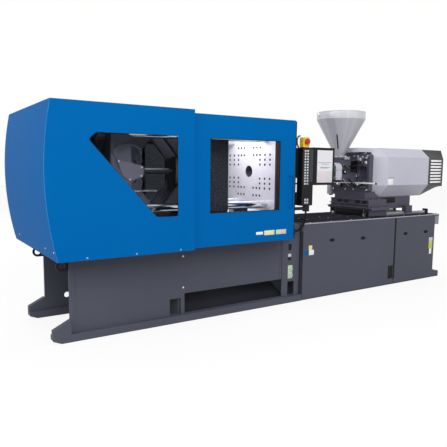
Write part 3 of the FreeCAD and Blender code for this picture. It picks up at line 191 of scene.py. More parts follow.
bpy.ops.mesh.primitive_plane_add(size=FLOOR_SIZE, location=(0, 0, 0))
floor = bpy.context.object
floor.name = "floor"
paper = bpy.data.materials.new("white studio floor paint")
paper.use_nodes = True
tree = paper.node_tree
tree.nodes.remove(tree.nodes["Principled BSDF"])
shows = shows_plainly(tree)
share = add(tree, "ShaderNodeMath", {1: FLOOR_WHITE_SHARE}, {0: shows}, operation="MULTIPLY")
tone = add(tree, "ShaderNodeMix", {6: linear("#C4C4C8"), 7: linear("#FFFFFF")}, {0: shows},
           data_type="RGBA")
lit = add(tree, "ShaderNodeBsdfDiffuse", links={"Color": tone.outputs[2]})
plain = add(tree, "ShaderNodeEmission", {"Color": linear("#FFFFFF"), "Strength": 1.0})
both = add(tree, "ShaderNodeMixShader", links={0: share.outputs[0], 1: lit.outputs[0], 2: plain.outputs[0]})
tree.links.new(both.outputs[0], tree.nodes["Material Output"].inputs["Surface"])
floor.data.materials.append(paper)

# %% [markdown]
# Pieces are modelled as by hand: a primitive is added where the piece goes, shaped with
# edit-mode operators, and eased along its edges, because no machined or folded edge is
# perfectly sharp, and the thin highlight there is what makes a thing look real. A piece
# gets its name, material and body at the end, when it is dressed.

# %% Modelling helpers
def at(x, y, z):
    """A point given in millimetres, in Blender's metres."""
    return Vector((x, y, z)) * MM


def corners(node):
    """The lowest and the highest corner of one of the model's solids, in millimetres."""
    low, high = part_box(node)
    return Vector(low) / MM, Vector(high) / MM


def only(*pieces):
    """Select these pieces and nothing else, the first one active."""
    bpy.ops.object.select_all(action="DESELECT")
    for piece in pieces:
        piece.select_set(True)
    bpy.context.view_layer.objects.active = pieces[0]


def settle(piece):
    """Move the piece's place, turn and scale into its mesh."""
    only(piece)
    bpy.ops.object.transform_apply(location=True, rotation=True, scale=True)
    return piece


def ease(piece, width_mm):
    """Round the piece's edges that are sharper than 30 degrees."""
    modifier = piece.modifiers.new("eased edges", "BEVEL")
    modifier.width = width_mm * MM
    modifier.segments = 2
    modifier.limit_method = "ANGLE"
    modifier.angle_limit = math.radians(30)
    only(piece)
    bpy.ops.object.modifier_apply(modifier=modifier.name)
    return piece


def block(low, high, edge):
    """A block between two corners, with eased edges."""
    low, high = at(*low), at(*high)
    bpy.ops.object.select_all(action="DESELECT")
    bpy.ops.mesh.primitive_cube_add(size=1, location=(low + high) / 2, scale=high - low)
    return ease(settle(bpy.context.object), edge)


def rod(start, end, radius, edge=0.0, sides=32):
    """A round bar between two points, with eased ends where an edge is given."""
    start, end = at(*start), at(*end)
    turn = (end - start).to_track_quat("Z", "Y").to_euler()
    bpy.ops.object.select_all(action="DESELECT")
    bpy.ops.mesh.primitive_cylinder_add(vertices=sides, radius=radius * MM, depth=(end - start).length,
                                        location=(start + end) / 2, rotation=turn)
    piece = settle(bpy.context.object)
    return ease(piece, edge) if edge else piece


def sink_end(piece, end, margin, depth):
    """Inset the flat face that looks along a direction and push its middle inwards."""
    end = Vector(end)
    reach = max(face.center.dot(end) for face in piece.data.polygons)
    only(piece)
    bpy.ops.object.mode_set(mode="EDIT")
    bpy.ops.mesh.select_mode(type="FACE")
    bpy.ops.mesh.select_all(action="DESELECT")
    mesh = bmesh.from_edit_mesh(piece.data)
    for face in mesh.faces:
        outermost = reach - face.calc_center_median().dot(end) < 0.01 * MM
        face.select_set(outermost and face.normal.dot(end) > 0.99)
    mesh.select_flush_mode()
    bmesh.update_edit_mesh(piece.data)
    bpy.ops.mesh.inset(thickness=margin * MM, depth=-depth * MM)
    bpy.ops.object.mode_set(mode="OBJECT")
    return piece


def cut_out(piece, cutter):
    """Take a cutter's shape out of a piece, and the cutter out of the scene."""
    hole = piece.modifiers.new("opening", "BOOLEAN")
    hole.operation = "DIFFERENCE"
    hole.object = cutter
    only(piece)
    bpy.ops.object.modifier_apply(modifier=hole.name)
    bpy.data.objects.remove(cutter)
    return piece


def facing(point, direction):
    """The place of a copy whose own +Z looks along a direction."""
    turn = Vector(direction).to_track_quat("Z", "Y").to_matrix().to_4x4()
    return Matrix.Translation(at(*point)) @ turn


def copies(master, places):
    """Copies of a master, each with its own mesh."""
    made = []
    for place in places:
        twin = master.copy()
        twin.data = master.data.copy()
        twin.matrix_world = place
        bpy.context.scene.collection.objects.link(twin)
        made.append(settle(twin))
    bpy.data.objects.remove(master)
    return made


def joined(pieces):
    """Several meshes made into one piece."""
    only(*pieces)
    if len(pieces) > 1:
        bpy.ops.object.join()
    return pieces[0]


def dress(name, pieces, finish, body="machine_frame", smooth=35):
    """Join the meshes of a piece and give it its name, material and body."""
    piece = joined(pieces if isinstance(pieces, list) else [pieces])
    piece.name = name
    piece.data.materials.clear()
    piece.data.materials.append(finish)
    only(piece)
    bpy.ops.object.shade_smooth_by_angle(angle=math.radians(smooth))
    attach(piece, body)
    print(name, len(piece.data.polygons), "faces")
    return piece


# %% [markdown]
# Powder coat is baked paint on steel sheet. It leaves a fine orange peel that breaks up
# reflections, and large panels are never quite flat, so a slow wave bends what they
# mirror. The covers are a satin blue, the bases a darker and rougher texture coat. The
# peel on the real sheet is 1 to 2 mm wide, too fine to show here, so it is drawn at 8 mm.

# %% Powder-coated steel
def powder_coat(name, shade, tone, roughness, peel_mm, peel_depth_mm, shine=0.1):
    """Baked paint between two close tones, with orange peel and slightly wavy sheet."""
    finish, tree, shader, place = new_finish(name, tone, roughness, specular_ior_level=shine)
    cloud = add(tree, "ShaderNodeTexNoise", {"Scale": 1 / (900 * MM), "Detail": 3.0}, {"Vector": place})
    tones = add(tree, "ShaderNodeMix", {6: linear(shade), 7: linear(tone)}, {0: cloud.outputs["Fac"]},
                data_type="RGBA")
    wave = add(tree, "ShaderNodeTexNoise", {"Scale": 1 / (700 * MM), "Detail": 1.0}, {"Vector": place})
    peel = add(tree, "ShaderNodeTexNoise", {"Scale": 1 / (peel_mm * MM), "Detail": 2.0}, {"Vector": place})
    slow = add(tree, "ShaderNodeBump", {"Strength": 0.6, "Distance": 2.0 * MM},
               {"Height": wave.outputs["Fac"]})
    fine = add(tree, "ShaderNodeBump", {"Strength": 0.5, "Distance": peel_depth_mm * MM},
               {"Height": peel.outputs["Fac"], "Normal": slow.outputs["Normal"]})
    rubbed = add(tree, "ShaderNodeMapRange", {"To Min": roughness - 0.05, "To Max": roughness + 0.05},
                 {"Value": cloud.outputs["Fac"]})
    tree.links.new(tones.outputs[2], shader.inputs["Base Color"])
    tree.links.new(fine.outputs["Normal"], shader.inputs["Normal"])
    tree.links.new(rubbed.outputs[0], shader.inputs["Roughness"])
    return finish


blue_coat = powder_coat("powder-coated steel, blue", "#005CA0", "#0065AA", 0.5, 8, 0.05, 0.02)
# A lighter blue: a painted highlight on the rolled corners of the clamp cover.
blue_painted_highlight = powder_coat("powder-coated steel, blue, rubbed edge", "#3F8CC4", "#5AA0D2", 0.4, 8, 0.05)
grey_coat = powder_coat("powder-coated steel, slate grey", "#4B4D59", "#565863", 0.55, 6, 0.12)
black_coat = powder_coat("powder-coated steel, black", "#1E1F25", "#292A31", 0.5, 6, 0.1)
slate_sheet = powder_coat("powder-coated steel, slate violet", "#56525F", "#635F6C", 0.5, 6, 0.1)

# %% [markdown]
# The platens' mould faces are ground and nickel plated, so they are pale with a slight
# warm violet cast. Grinding leaves long fine scratches along Y, drawn 4 mm apart here, and
# plating leaves soft spots. Tie bars are hard chrome: nearly a mirror. Rails, rods and
# links are ground or turned steel, with the tool's lines running round or along the piece.

# %% Bare and plated steel
def ground_steel(name, shade, tone, roughness, stretch, line_mm, metallic=1.0):
    """Ground metal with fine lines along one axis. Stretch is that pattern's scale in X, Y and Z."""
    finish, tree, shader, place = new_finish(name, tone, roughness, metallic)
    long = add(tree, "ShaderNodeMapping", {"Scale": stretch}, {"Vector": place})
    lines = add(tree, "ShaderNodeTexNoise", {"Scale": 1 / (line_mm * MM), "Detail": 4.0},
                {"Vector": long.outputs[0]})
    spots = add(tree, "ShaderNodeTexNoise", {"Scale": 1 / (60 * MM), "Detail": 3.0}, {"Vector": place})
    mixed = add(tree, "ShaderNodeMath", {1: 0.5}, {0: lines.outputs["Fac"], 2: spots.outputs["Fac"]},
                operation="MULTIPLY_ADD")
    tones = add(tree, "ShaderNodeMix", {6: linear(shade), 7: linear(tone)}, {0: mixed.outputs[0]},
                data_type="RGBA")
    dull = add(tree, "ShaderNodeMapRange", {"To Min": roughness - 0.06, "To Max": roughness + 0.08},
               {"Value": lines.outputs["Fac"]})
    scratch = add(tree, "ShaderNodeBump", {"Strength": 0.3, "Distance": 0.05 * MM},
                  {"Height": lines.outputs["Fac"]})
    tree.links.new(tones.outputs[2], shader.inputs["Base Color"])
    tree.links.new(dull.outputs[0], shader.inputs["Roughness"])
    tree.links.new(scratch.outputs["Normal"], shader.inputs["Normal"])
    return finish


nickel = ground_steel("nickel-plated ground steel", "#DDD4E0", "#F4EEF5", 0.42, (1, 0.08, 1), 4, 0.25)
chrome = ground_steel("hard chrome on steel bar", "#C9CBD0", "#E6E8EC", 0.12, (0.05, 1, 1), 6)
steel = ground_steel("ground steel", "#8E9096", "#B9BBC0", 0.32, (0.1, 1, 1), 5)
zinc = ground_steel("zinc-plated steel screws", "#B5B7BA", "#DADBDC", 0.3, (1, 1, 1), 8)
black_steel = ground_steel("black-oxide steel screws", "#34353A", "#4A4B51", 0.4, (1, 1, 1), 6, 0.6)
brass = ground_steel("turned brass", "#8A7A58", "#B0A078", 0.28, (1, 1, 1), 6)
anodised = ground_steel("anodised aluminium", "#8A8894", "#ABA9B4", 0.4, (0.05, 1, 1), 5, 0.7)

# %% [markdown]
# Castings are poured in sand, and the paint over them still shows the sand's coarse skin.
# A pitted bump at 5 mm and a rough satin paint tell the eye that a dark block is iron and
# not sheet.

# %% Painted castings
def painted_casting(name, shade, tone):
    """Dark paint over sand-cast iron."""
    finish, tree, shader, place = new_finish(name, tone, 0.52, specular_ior_level=0.25)
    cloud = add(tree, "ShaderNodeTexNoise", {"Scale": 1 / (120 * MM), "Detail": 4.0}, {"Vector": place})
    sand = add(tree, "ShaderNodeTexVoronoi", {"Scale": 1 / (5 * MM)}, {"Vector": place})
    tones = add(tree, "ShaderNodeMix", {6: linear(shade), 7: linear(tone)}, {0: cloud.outputs["Fac"]},
                data_type="RGBA")
    skin = add(tree, "ShaderNodeBump", {"Strength": 0.35, "Distance": 0.3 * MM},
               {"Height": sand.outputs["Distance"]})
    dull = add(tree, "ShaderNodeMapRange", {"To Min": 0.42, "To Max": 0.62}, {"Value": cloud.outputs["Fac"]})
    tree.links.new(tones.outputs[2], shader.inputs["Base Color"])
    tree.links.new(skin.outputs["Normal"], shader.inputs["Normal"])
    tree.links.new(dull.outputs[0], shader.inputs["Roughness"])
    return finish


casting = painted_casting("painted cast iron, charcoal", "#41404E", "#525160")
link_casting = painted_casting("painted cast iron, grey", "#4C4B58", "#605F6C")

# %% [markdown]
# The drive cover is moulded plastic in a light lilac grey, the end cap and the operator
# panel are moulded in black. Moulds for such parts are spark-etched, which prints a fine
# leather-like grain, 1 mm on the real part and 6 mm here. It scatters the highlight
# and makes plastic look softer than paint.

# %% Moulded plastics
def moulded(name, shade, tone, roughness, grain_mm=6, shine=0.4):
    """Grained moulded plastic between two close tones."""
    finish, tree, shader, place = new_finish(name, tone, roughness, specular_ior_level=shine)
    cloud = add(tree, "ShaderNodeTexNoise", {"Scale": 1 / (400 * MM), "Detail": 2.0}, {"Vector": place})
    tones = add(tree, "ShaderNodeMix", {6: linear(shade), 7: linear(tone)}, {0: cloud.outputs["Fac"]},
                data_type="RGBA")
    grain = add(tree, "ShaderNodeTexVoronoi", {"Scale": 1 / (grain_mm * MM)}, {"Vector": place},
                feature="SMOOTH_F1")
    print_in = add(tree, "ShaderNodeBump", {"Strength": 0.25, "Distance": 0.12 * MM},
                   {"Height": grain.outputs["Distance"]})
    tree.links.new(tones.outputs[2], shader.inputs["Base Color"])
    tree.links.new(print_in.outputs["Normal"], shader.inputs["Normal"])
    return finish


light_abs = moulded("moulded ABS, light lilac grey", "#B9B9C7", "#C7C7D3", 0.45, shine=0.25)
socket_abs = moulded("moulded ABS, socket grey", "#80838B", "#8E9199", 0.45, shine=0.25)
black_abs = moulded("moulded ABS, black", "#1E1F24", "#2A2B31", 0.5)
panel_abs = moulded("moulded ABS, operator panel black", "#0C0D10", "#15161A", 0.4, shine=0.2)
yellow_abs = moulded("moulded polycarbonate, yellow", "#E3B81C", "#F2CC33", 0.35)
red_abs = moulded("moulded polycarbonate, red", "#B0141C", "#C81E24", 0.3)
panel_grey = moulded("moulded ABS, dark grey keys", "#33363A", "#4B4E54", 0.4)
ceramic = moulded("glazed steatite ceramic", "#8A6A4E", "#B49B7C", 0.3)
key_foil = moulded("embossed key foil, light grey", "#B9BDC0", "#D6DADC", 0.35, 3)
nitrile = moulded("nitrile rubber, black", "#0B0B0D", "#141417", 0.65, 4, 0.2)
mat_rubber = moulded("matt rubber mat, slate", "#2C2B34", "#383740", 0.9, 4, 0.0)

# %% [markdown]
# The guard panes are clear polycarbonate, 5 mm thick. A pane is a smooth transmitting
# shader with a slight grey tint. The sheet's own index is 1.58, but in an all-white room
# that would lay a pale veil over all that is behind, so an index of 1.1 stands in for the
# dark room that real panes mirror. Real panes throw hardly any shadow, and a path tracer
# would give them a dark one, so they are left out of the shadows. The rear door's pane is
# taken to be a dark tinted sheet, because the photograph shows darkness through it: the tint
# is painted shade for the dark inside of the guard.

# %% Clear panes
def clear_pane(name, tint):
    """Clear polycarbonate sheet with a faint haze of fine wiping marks."""
    finish, tree, shader, place = new_finish(name, tint, 0.01, transmission_weight=1.0, ior=1.1)
    haze = add(tree, "ShaderNodeTexNoise", {"Scale": 1 / (180 * MM), "Detail": 3.0}, {"Vector": place})
    wiped = add(tree, "ShaderNodeMapRange", {"To Min": 0.0, "To Max": 0.02}, {"Value": haze.outputs["Fac"]})
    tree.links.new(wiped.outputs[0], shader.inputs["Roughness"])
    return finish


polycarbonate = clear_pane("clear polycarbonate sheet", "#E9EEF0")
# The rear pane's dark tint is painted shade.
shade_tinted_pane = clear_pane("polycarbonate sheet tinted dark as painted shade", "#2A2C31")
for pane in ("clamp_window", "front_door_window", "rear_door_window"):
    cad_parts[pane].visible_shadow = False

# %% [markdown]
# The hopper is rolled and welded from thin steel sheet and painted a satin light grey. Its
# cone was bent by hand over a roll, so it has faint flats from top to bottom. Those flats
# are drawn as a soft wave round the hopper's own axis, which needs a mapping that puts
# that axis at the pattern's centre and the angle from an arctangent.

# %% Hopper sheet
HOPPER_X = 1225


def rolled_sheet(name, shade, tone):
    """Painted rolled sheet with faint upright flats about the hopper's axis."""
    finish, tree, shader, place = new_finish(name, tone, 0.3, 0.15)
    centred = add(tree, "ShaderNodeMapping", {"Location": (-HOPPER_X * MM, 0, 0)}, {"Vector": place})
    split = add(tree, "ShaderNodeSeparateXYZ", links={0: centred.outputs[0]})
    angle = add(tree, "ShaderNodeMath", links={0: split.outputs["Y"], 1: split.outputs["X"]},
                operation="ARCTAN2")
    around = add(tree, "ShaderNodeMath", {1: 4.0}, {0: angle.outputs[0]}, operation="MULTIPLY")
    upright = add(tree, "ShaderNodeMath", {1: 0.8}, {0: split.outputs["Z"]}, operation="MULTIPLY")
    line = add(tree, "ShaderNodeCombineXYZ", links={0: around.outputs[0], 1: upright.outputs[0]})
    flats = add(tree, "ShaderNodeTexNoise", {"Scale": 1.0, "Detail": 2.0}, {"Vector": line.outputs[0]})
    tones = add(tree, "ShaderNodeMix", {6: linear(shade), 7: linear(tone)}, {0: flats.outputs["Fac"]},
                data_type="RGBA")
    bent = add(tree, "ShaderNodeBump", {"Strength": 0.5, "Distance": 6 * MM},
               {"Height": flats.outputs["Fac"]})
    tree.links.new(tones.outputs[2], shader.inputs["Base Color"])
    tree.links.new(bent.outputs["Normal"], shader.inputs["Normal"])
    return finish


hopper_coat = rolled_sheet("painted rolled steel sheet, light grey", "#9C9CA5", "#BEBEC5")
rim_coat = rolled_sheet("painted rolled steel sheet, rim grey", "#C2C2C8", "#DCDCE0")

# %% [markdown]
# Printed labels are thin polyester film with a soft gloss, and here they are plain fields
# of colour with nothing written on them. The screen is a lit display behind glass: a
# pale field that glows a little, a touch warmer towards its lower end.

# %% Films and the lit screen
def film(name, colour, glow=0.0):
    """Printed polyester film; where a glow is given, a lit display, a lamp's diffuser, or a white mat whose
    glow is painted light.
    """
    finish, tree, shader, place = new_finish(name, colour, 0.3, emission_strength=glow)
    shader.inputs["Emission Color"].default_value = linear(colour)
    wrinkle = add(tree, "ShaderNodeTexNoise", {"Scale": 1 / (25 * MM), "Detail": 2.0}, {"Vector": place})
    lift = add(tree, "ShaderNodeBump", {"Strength": 0.2, "Distance": 0.1 * MM},
               {"Height": wrinkle.outputs["Fac"]})
    tree.links.new(lift.outputs["Normal"], shader.inputs["Normal"])
    return finish


white_film = film("polyester film, white", "#EDEFF0")
yellow_film = film("polyester film, pale yellow", "#E4DDA2")
lime_film = film("polyester film, yellow green", "#BFC83A")
green_film = film("polyester film, pale green", "#BBD6A8")
rose_film = film("polyester film, pale rose", "#D9B4B8")
# Beige of a bare cut sheet edge, lightened as a painted highlight.
beige_lit_edge = film("bare sheet edge, beige, with painted highlight", "#C9BD9C")
ink_film = film("screen field, slate", "#6C7178", 0.1)
lit_screen = film("lit display", "#D6D6DA", 0.12)
rosy_screen = film("lit display, rosy", "#CDC5C8", 0.12)
# A white mat that glows: the work lamp's lit diffuser, and painted light behind the end cap's openings.
glowing_white_mat = film("white mat with a glow", "#F2F2F4", 0.3)

# %% [markdown]
# The model's own solids keep their shape and get two things: a finish, and edges eased by
# modifiers. Their triangles are loose, so the first modifier welds them, the second
# dissolves flat triangles into whole faces, and the third rounds every edge sharper than
# 30 degrees. Widths follow how the real edge was made: 1 mm on folded sheet, up to 4 mm on
# castings. Weighted normals keep the large faces flat beside the rounding. The clear panes
# are left sharp and flat, because a bent normal would bend the view through them.

# %% Finishes and eased edges of the model's solids
FINISHES = (
    (blue_coat, 1, "clamp_cover_front clamp_cover_rear clamp_cover_end front_door rear_door"),
    (grey_coat, 2, "clamp_base_frame injection_base_frame"),
    (grey_coat, 1, "parts_chute base_covers_front base_covers_rear"),
    (black_coat, 4, "moving_platen"),
    (black_coat, 3, "lifting_lugs guard_frame hmi_bracket"),
    (black_coat, 2, "control_cabinet"),
    (nickel, 3, "fixed_platen"),
    (chrome, 2, "tie_bars"),
    (zinc, 1, "water_fittings"),
    (steel, 2, "platen_ways carriage_rails ejector_plate barrel heater_bands"),
    (steel, 1, "door_rails ball_screw plasticising_screw hopper_shutter injection_screw"),
    (casting, 4, "tailstock_platen carriage_base injection_front_plate throat_block"),
    (casting, 3, "crosshead injection_rear_frame drive_plate"),
    (casting, 2, "clamp_motor"),
    (link_casting, 3, "rear_link_upper rear_link_lower front_link_upper front_link_lower"),
    (link_casting, 2, "crosshead_link_upper crosshead_link_lower"),
    (hopper_coat, 1, "hopper hopper_lid"),
    (light_abs, 3, "injection_cover"),
    (light_abs, 2, "throat_cover"),
    (socket_abs, 3, "end_socket_box"),
    (black_abs, 2, "injection_end_cap"),
    (panel_abs, 3, "hmi_housing"),
    (lit_screen, 0.3, "hmi_screen"),
    (yellow_abs, 3, "estop_base"),
    (red_abs, 2, "estop_button"),
    (nitrile, 1, "base_latch_1 base_latch_2 base_latch_3 base_latch_4"),
    (polycarbonate, 0, "clamp_window front_door_window"),
    (shade_tinted_pane, 0, "rear_door_window"),
)
for finish, edge_mm, names in FINISHES:
    for name in names.split():
        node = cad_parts[name]
        node.data.materials.clear()
        node.data.materials.append(finish)
        if edge_mm:
            node.data.polygons.foreach_set("use_smooth", [True] * len(node.data.polygons))
            node.modifiers.new("weld", "WELD").merge_threshold = 0.01 * MM
            flat = node.modifiers.new("whole faces", "DECIMATE")
            flat.decimate_type = "DISSOLVE"
            flat.angle_limit = math.radians(0.5)
            edges = node.modifiers.new("eased edges", "BEVEL")
            edges.width = edge_mm * MM
            edges.segments = 2
            edges.limit_method = "ANGLE"
            edges.angle_limit = math.radians(30)
            node.modifiers.new("flat faces stay flat", "WEIGHTED_NORMAL").keep_sharp = True
print(len(FINISHES), "kinds of solid finished")

# %% [markdown]
# Some solids carry a second finish. The moving platen is painted all but its ground mould
# face, the fixed platen's sides are painted, the hopper's rim is a lighter grey, and the
# chute, the table's top, the window rings and the doors' reveals are black. Faces are
# picked by their middle and by the direction they look in.

# %% Second finishes
BAR_X, BAR_Z = 1366, 1113.7
MOULD_FACE_X = corners("moving_platen")[1].x


def repaint(names, finish, wanted):
    """Give a second finish to those faces of solids whose middle and normal pass a test."""
    for name in names.split():
        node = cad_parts[name]
        node.data.materials.append(finish)
        for face in node.data.polygons:
            if wanted(face.center / MM, face.normal):
                face.material_index = 1


repaint("fixed_platen", casting, lambda middle, normal: middle.x > 1)
repaint("moving_platen", nickel, lambda middle, normal: middle.x > MOULD_FACE_X - 1 and normal.x > 0.9)
repaint("injection_front_plate", chrome,
        lambda middle, normal: abs(middle.z - BAR_Z) < 7 and abs(middle.x - BAR_X) < 7)
repaint("hopper", rim_coat, lambda middle, normal: middle.z > 1792)
repaint("parts_chute", black_coat, lambda middle, normal: abs(middle.y) < 343.5)
repaint("injection_base_frame", black_coat, lambda middle, normal: middle.z > 747 and normal.z > 0.9)
repaint("front_door_window rear_door_window", black_coat, lambda middle, normal: abs(middle.y) > 583.5)
repaint("front_door rear_door", black_coat,
        lambda middle, normal: -823 < middle.x < -129 and 914 < middle.z < 1496 and abs(middle.y) < 627)

# %% [markdown]
# Each added piece names its material and the body that it moves with.

# %% [markdown]
# The conduit that carries the panel's cables hangs from the hollow pivot and curls round to
# the gland box. It is a smooth spline through the route's points with a round bevel. A
# corrugated conduit shows as close dark rings, so a ring is set every 5 mm along the line
# that Blender itself works out for the same spline. This one route is given in metres.

# %% Operator panel's conduit
ROUTE = ((0.338, -0.45, 0.870), (0.338, -0.45, 0.789), (0.2975, -0.45, 0.719),
         (0.2475, -0.45, 0.690), (0.190, -0.45, 0.690))
CONDUIT_THICK = 0.020
RIB_PITCH = 0.005


def spline_line(name, points, thick):
    """A smooth open line through control points, with a round bevel where it has a thickness."""
    data = bpy.data.curves.new(name, "CURVE")
    data.dimensions = "3D"
    data.resolution_u = 24
    data.bevel_depth = thick / 2
    data.bevel_resolution = 5
    data.use_fill_caps = True
    spline = data.splines.new("NURBS")
    spline.points.add(len(points) - 1)
    for point, place in zip(spline.points, points):
        point.co = (*place, 1)
    spline.order_u = 3
    spline.use_endpoint_u = True
    made = bpy.data.objects.new(name, data)
    bpy.context.scene.collection.objects.link(made)
    return made


conduit = spline_line("panel_conduit", ROUTE, CONDUIT_THICK * 0.86)
conduit.data.materials.append(nitrile)
centre = spline_line("centre", ROUTE, 0)
line = bpy.data.meshes.new_from_object(centre)
path = [Vector(vertex.co) for vertex in line.vertices]
bpy.data.objects.remove(centre)
steps = [(b - a).length for a, b in zip(path, path[1:])]
print("conduit spline", round(sum(steps), 4), "m")

bpy.ops.object.select_all(action="DESELECT")
bpy.ops.mesh.primitive_torus_add(major_radius=CONDUIT_THICK * 0.43, minor_radius=CONDUIT_THICK * 0.07,
                                 major_segments=24, minor_segments=6)
rib = bpy.context.object
places, walked, wanted = [], 0.0, RIB_PITCH
for (a, b), step in zip(zip(path, path[1:]), steps):
    while wanted <= walked + step and wanted < sum(steps) - RIB_PITCH / 2:
        spot = a.lerp(b, (wanted - walked) / step) / MM
        places.append(facing(spot, b - a))
        wanted += RIB_PITCH
    walked += step
ribs = dress("panel_conduit_ribs", copies(rib, places), nitrile, "machine_frame")
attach(conduit, "machine_frame")
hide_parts("hmi_conduit")

# %% [markdown]
# Screws are the smallest things that the eye still finds on a machine. A button head is a
# short bar with a rounded rim and a socket sunk into it. A bolt is a six-sided head on a
# washer. Each is made once, looking up, and copied to its places with a turn that points
# it along the surface's normal.

# %% Screws and bolts
FRONT, REAR = (0, -1, 0), (0, 1, 0)
LEFT, RIGHT = (-1, 0, 0), (1, 0, 0)
UP, DOWN = (0, 0, 1), (0, 0, -1)
COVER_Y = -corners("clamp_cover_front")[0].y
DOOR_Y = -corners("front_door")[0].y
BASE_Y = -corners("base_covers_front")[0].y
PLATE_Y = 365
AXIS_Z = 1235


def screw(radius, height):
    """A button-head screw with a round socket, looking up."""
    head = rod((0, 0, 0), (0, 0, height), radius, 0.3 * height, 20)
    return sink_end(head, UP, 0.5 * radius, 0.5 * height)


def bolt(radius, height):
    """A hexagon bolt head on its washer, looking up."""
    washer = rod((0, 0, 0), (0, 0, 0.25 * height), 1.3 * radius, 0.06 * height, 24)
    head = rod((0, 0, 0.25 * height), (0, 0, height), radius, 0.08 * height, 6)
    return joined([washer, head])


def looking(direction, points):
    """Places of copies that all look along one direction."""
    return [facing(point, direction) for point in points]


def at_both_sides(points):
    """Places on the operator side and their mirror places on the rear side."""
    return looking(FRONT, points) + looking(REAR, [(x, -y, z) for x, y, z in points])


places = at_both_sides([(x, -COVER_Y + 3.5, 655) for x in (-1812, -1455, -1098)])
dress("cover_screws", copies(screw(6, 4), places), zinc)
places = looking(LEFT, [(-2028, y, 708) for y in (-638, -420, 420, 638)])
dress("end_sheet_screws", copies(screw(6, 4), places), zinc)
places = looking(FRONT, [(-921, -PLATE_Y, z) for z in (282, 543)])
dress("base_post_screws", copies(screw(8, 5), places), zinc)

# %% [markdown]
# Panes sit in rubber. Round each window runs a soft black bead that hides the cut edge of
# the sheet. It is a poly line through the window's corners, each corner eased, with a thin
# round bevel, turned into a mesh. Above the panes a beige strip marks the bare cut edge of
# the sheet with a painted highlight on it, and the door's closing edge has a rubber seal.

# %% Window beads and door seal
def eased_corners(points, radius, steps=5):
    """The points of a closed outline with each corner rounded off."""
    out = []
    for before, corner, after in zip(points[-1:] + points[:-1], points, points[1:] + points[:1]):
        start = corner + (before - corner).normalized() * radius
        end = corner + (after - corner).normalized() * radius
        for i in range(steps + 1):
            share = i / steps
            out.append(start.lerp(corner, share).lerp(corner.lerp(end, share), share))
    return out


def bead(points, radius, closed=False):
    """A round strip along a line of points in millimetres, as a mesh."""
    data = bpy.data.curves.new("bead", "CURVE")
    data.dimensions = "3D"
    data.bevel_depth = radius * MM
    data.bevel_resolution = 3
    data.use_fill_caps = not closed
    spline = data.splines.new("POLY")
    spline.points.add(len(points) - 1)
    for point, place in zip(spline.points, points):
        point.co = (*at(*place), 1)
    spline.use_cyclic_u = closed
    made = bpy.data.objects.new("bead", data)
    bpy.context.scene.collection.objects.link(made)
    only(made)
    bpy.ops.object.convert(target="MESH")
    return made


TOGGLE_WINDOW = ((-1737, 1500), (-1121, 1500), (-1121, 910), (-1294, 910), (-1789, 1452))
DOOR_WINDOW = ((-822, 1495), (-130, 1495), (-130, 915), (-822, 915))
around = eased_corners([Vector((x, -COVER_Y + 2, z)) for x, z in TOGGLE_WINDOW], 22)
dress("toggle_window_bead", bead(around, 2.5, closed=True), nitrile, smooth=60)
for side, body in ((-1, "front_door"), (1, "rear_door")):
    around = eased_corners([Vector((x, side * DOOR_Y, z)) for x, z in DOOR_WINDOW], 4)
    dress(body + "_window_bead", bead(around, 2.5, closed=True), nitrile, body, smooth=60)
    low, high = corners(body)
    y = sorted((side * DOOR_Y, side * (DOOR_Y - 20)))
    seal = block((high.x, y[0], low.z + 8), (high.x + 13, y[1], high.z - 8), 2)
    dress(body + "_seal", seal, nitrile, body)
# Beige strips on the bare cut edges above the panes carry a painted highlight.
tape = block((-1500, -COVER_Y + 0.4, 1494), (-1372, -COVER_Y + 2.6, 1500), 0.5)
dress("toggle_window_lit_edge", tape, beige_lit_edge)
tape = block((-812, -DOOR_Y + 1, 1490), (-600, -DOOR_Y + 20, 1495), 0.8)
dress("door_window_lit_edge", tape, beige_lit_edge, "front_door")

# %% [markdown]
# Where the end sheet meets the side sheets the cover has a rolled corner, drawn in a lighter
# blue as a painted highlight for the light line that runs down it from top to bottom. The
# line follows the end's arc, which is the circle through three of its points.

# %% Rolled corners of the clamp cover
def arc_through(first, middle, last, steps=24):
    """Points of the circle through three points given as X and Z."""
    (ax, az), (bx, bz), (cx, cz) = first, middle, last
    det = 2 * (ax * (bz - cz) + bx * (cz - az) + cx * (az - bz))
    a2, b2, c2 = ax * ax + az * az, bx * bx + bz * bz, cx * cx + cz * cz
    x = (a2 * (bz - cz) + b2 * (cz - az) + c2 * (az - bz)) / det
    z = (a2 * (cx - bx) + b2 * (ax - cx) + c2 * (bx - ax)) / det
    radius = math.hypot(ax - x, az - z)
    start, end = math.atan2(az - z, x - ax), math.atan2(cz - z, x - cx)
    turns = [start + (end - start) * i / steps for i in range(steps + 1)]
    return [(x - radius * math.cos(turn), z + radius * math.sin(turn)) for turn in turns]


END_ARC = arc_through((-2031, 1696), (-2081, 1220), (-2009, 644))
rolls = [bead([(x, side * (COVER_Y - 3), z) for x, z in END_ARC], 3.2) for side in (-1, 1)]
dress("cover_corner_rolls", rolls, blue_painted_highlight, smooth=60)

# %% [markdown]
# Print on a real machine becomes plain fields here. Each field is a thin film with softly
# eased edges, laid on the sheet. The three on the door are white, pale yellow and one of
# green over rose, and those on the base covers follow the photograph's colours too.

# %% Plain label fields
def field(name, finish, low, high, body="machine_frame"):
    """A thin label field between two corners."""
    dress(name, block(low, high, 0.15), finish, body)


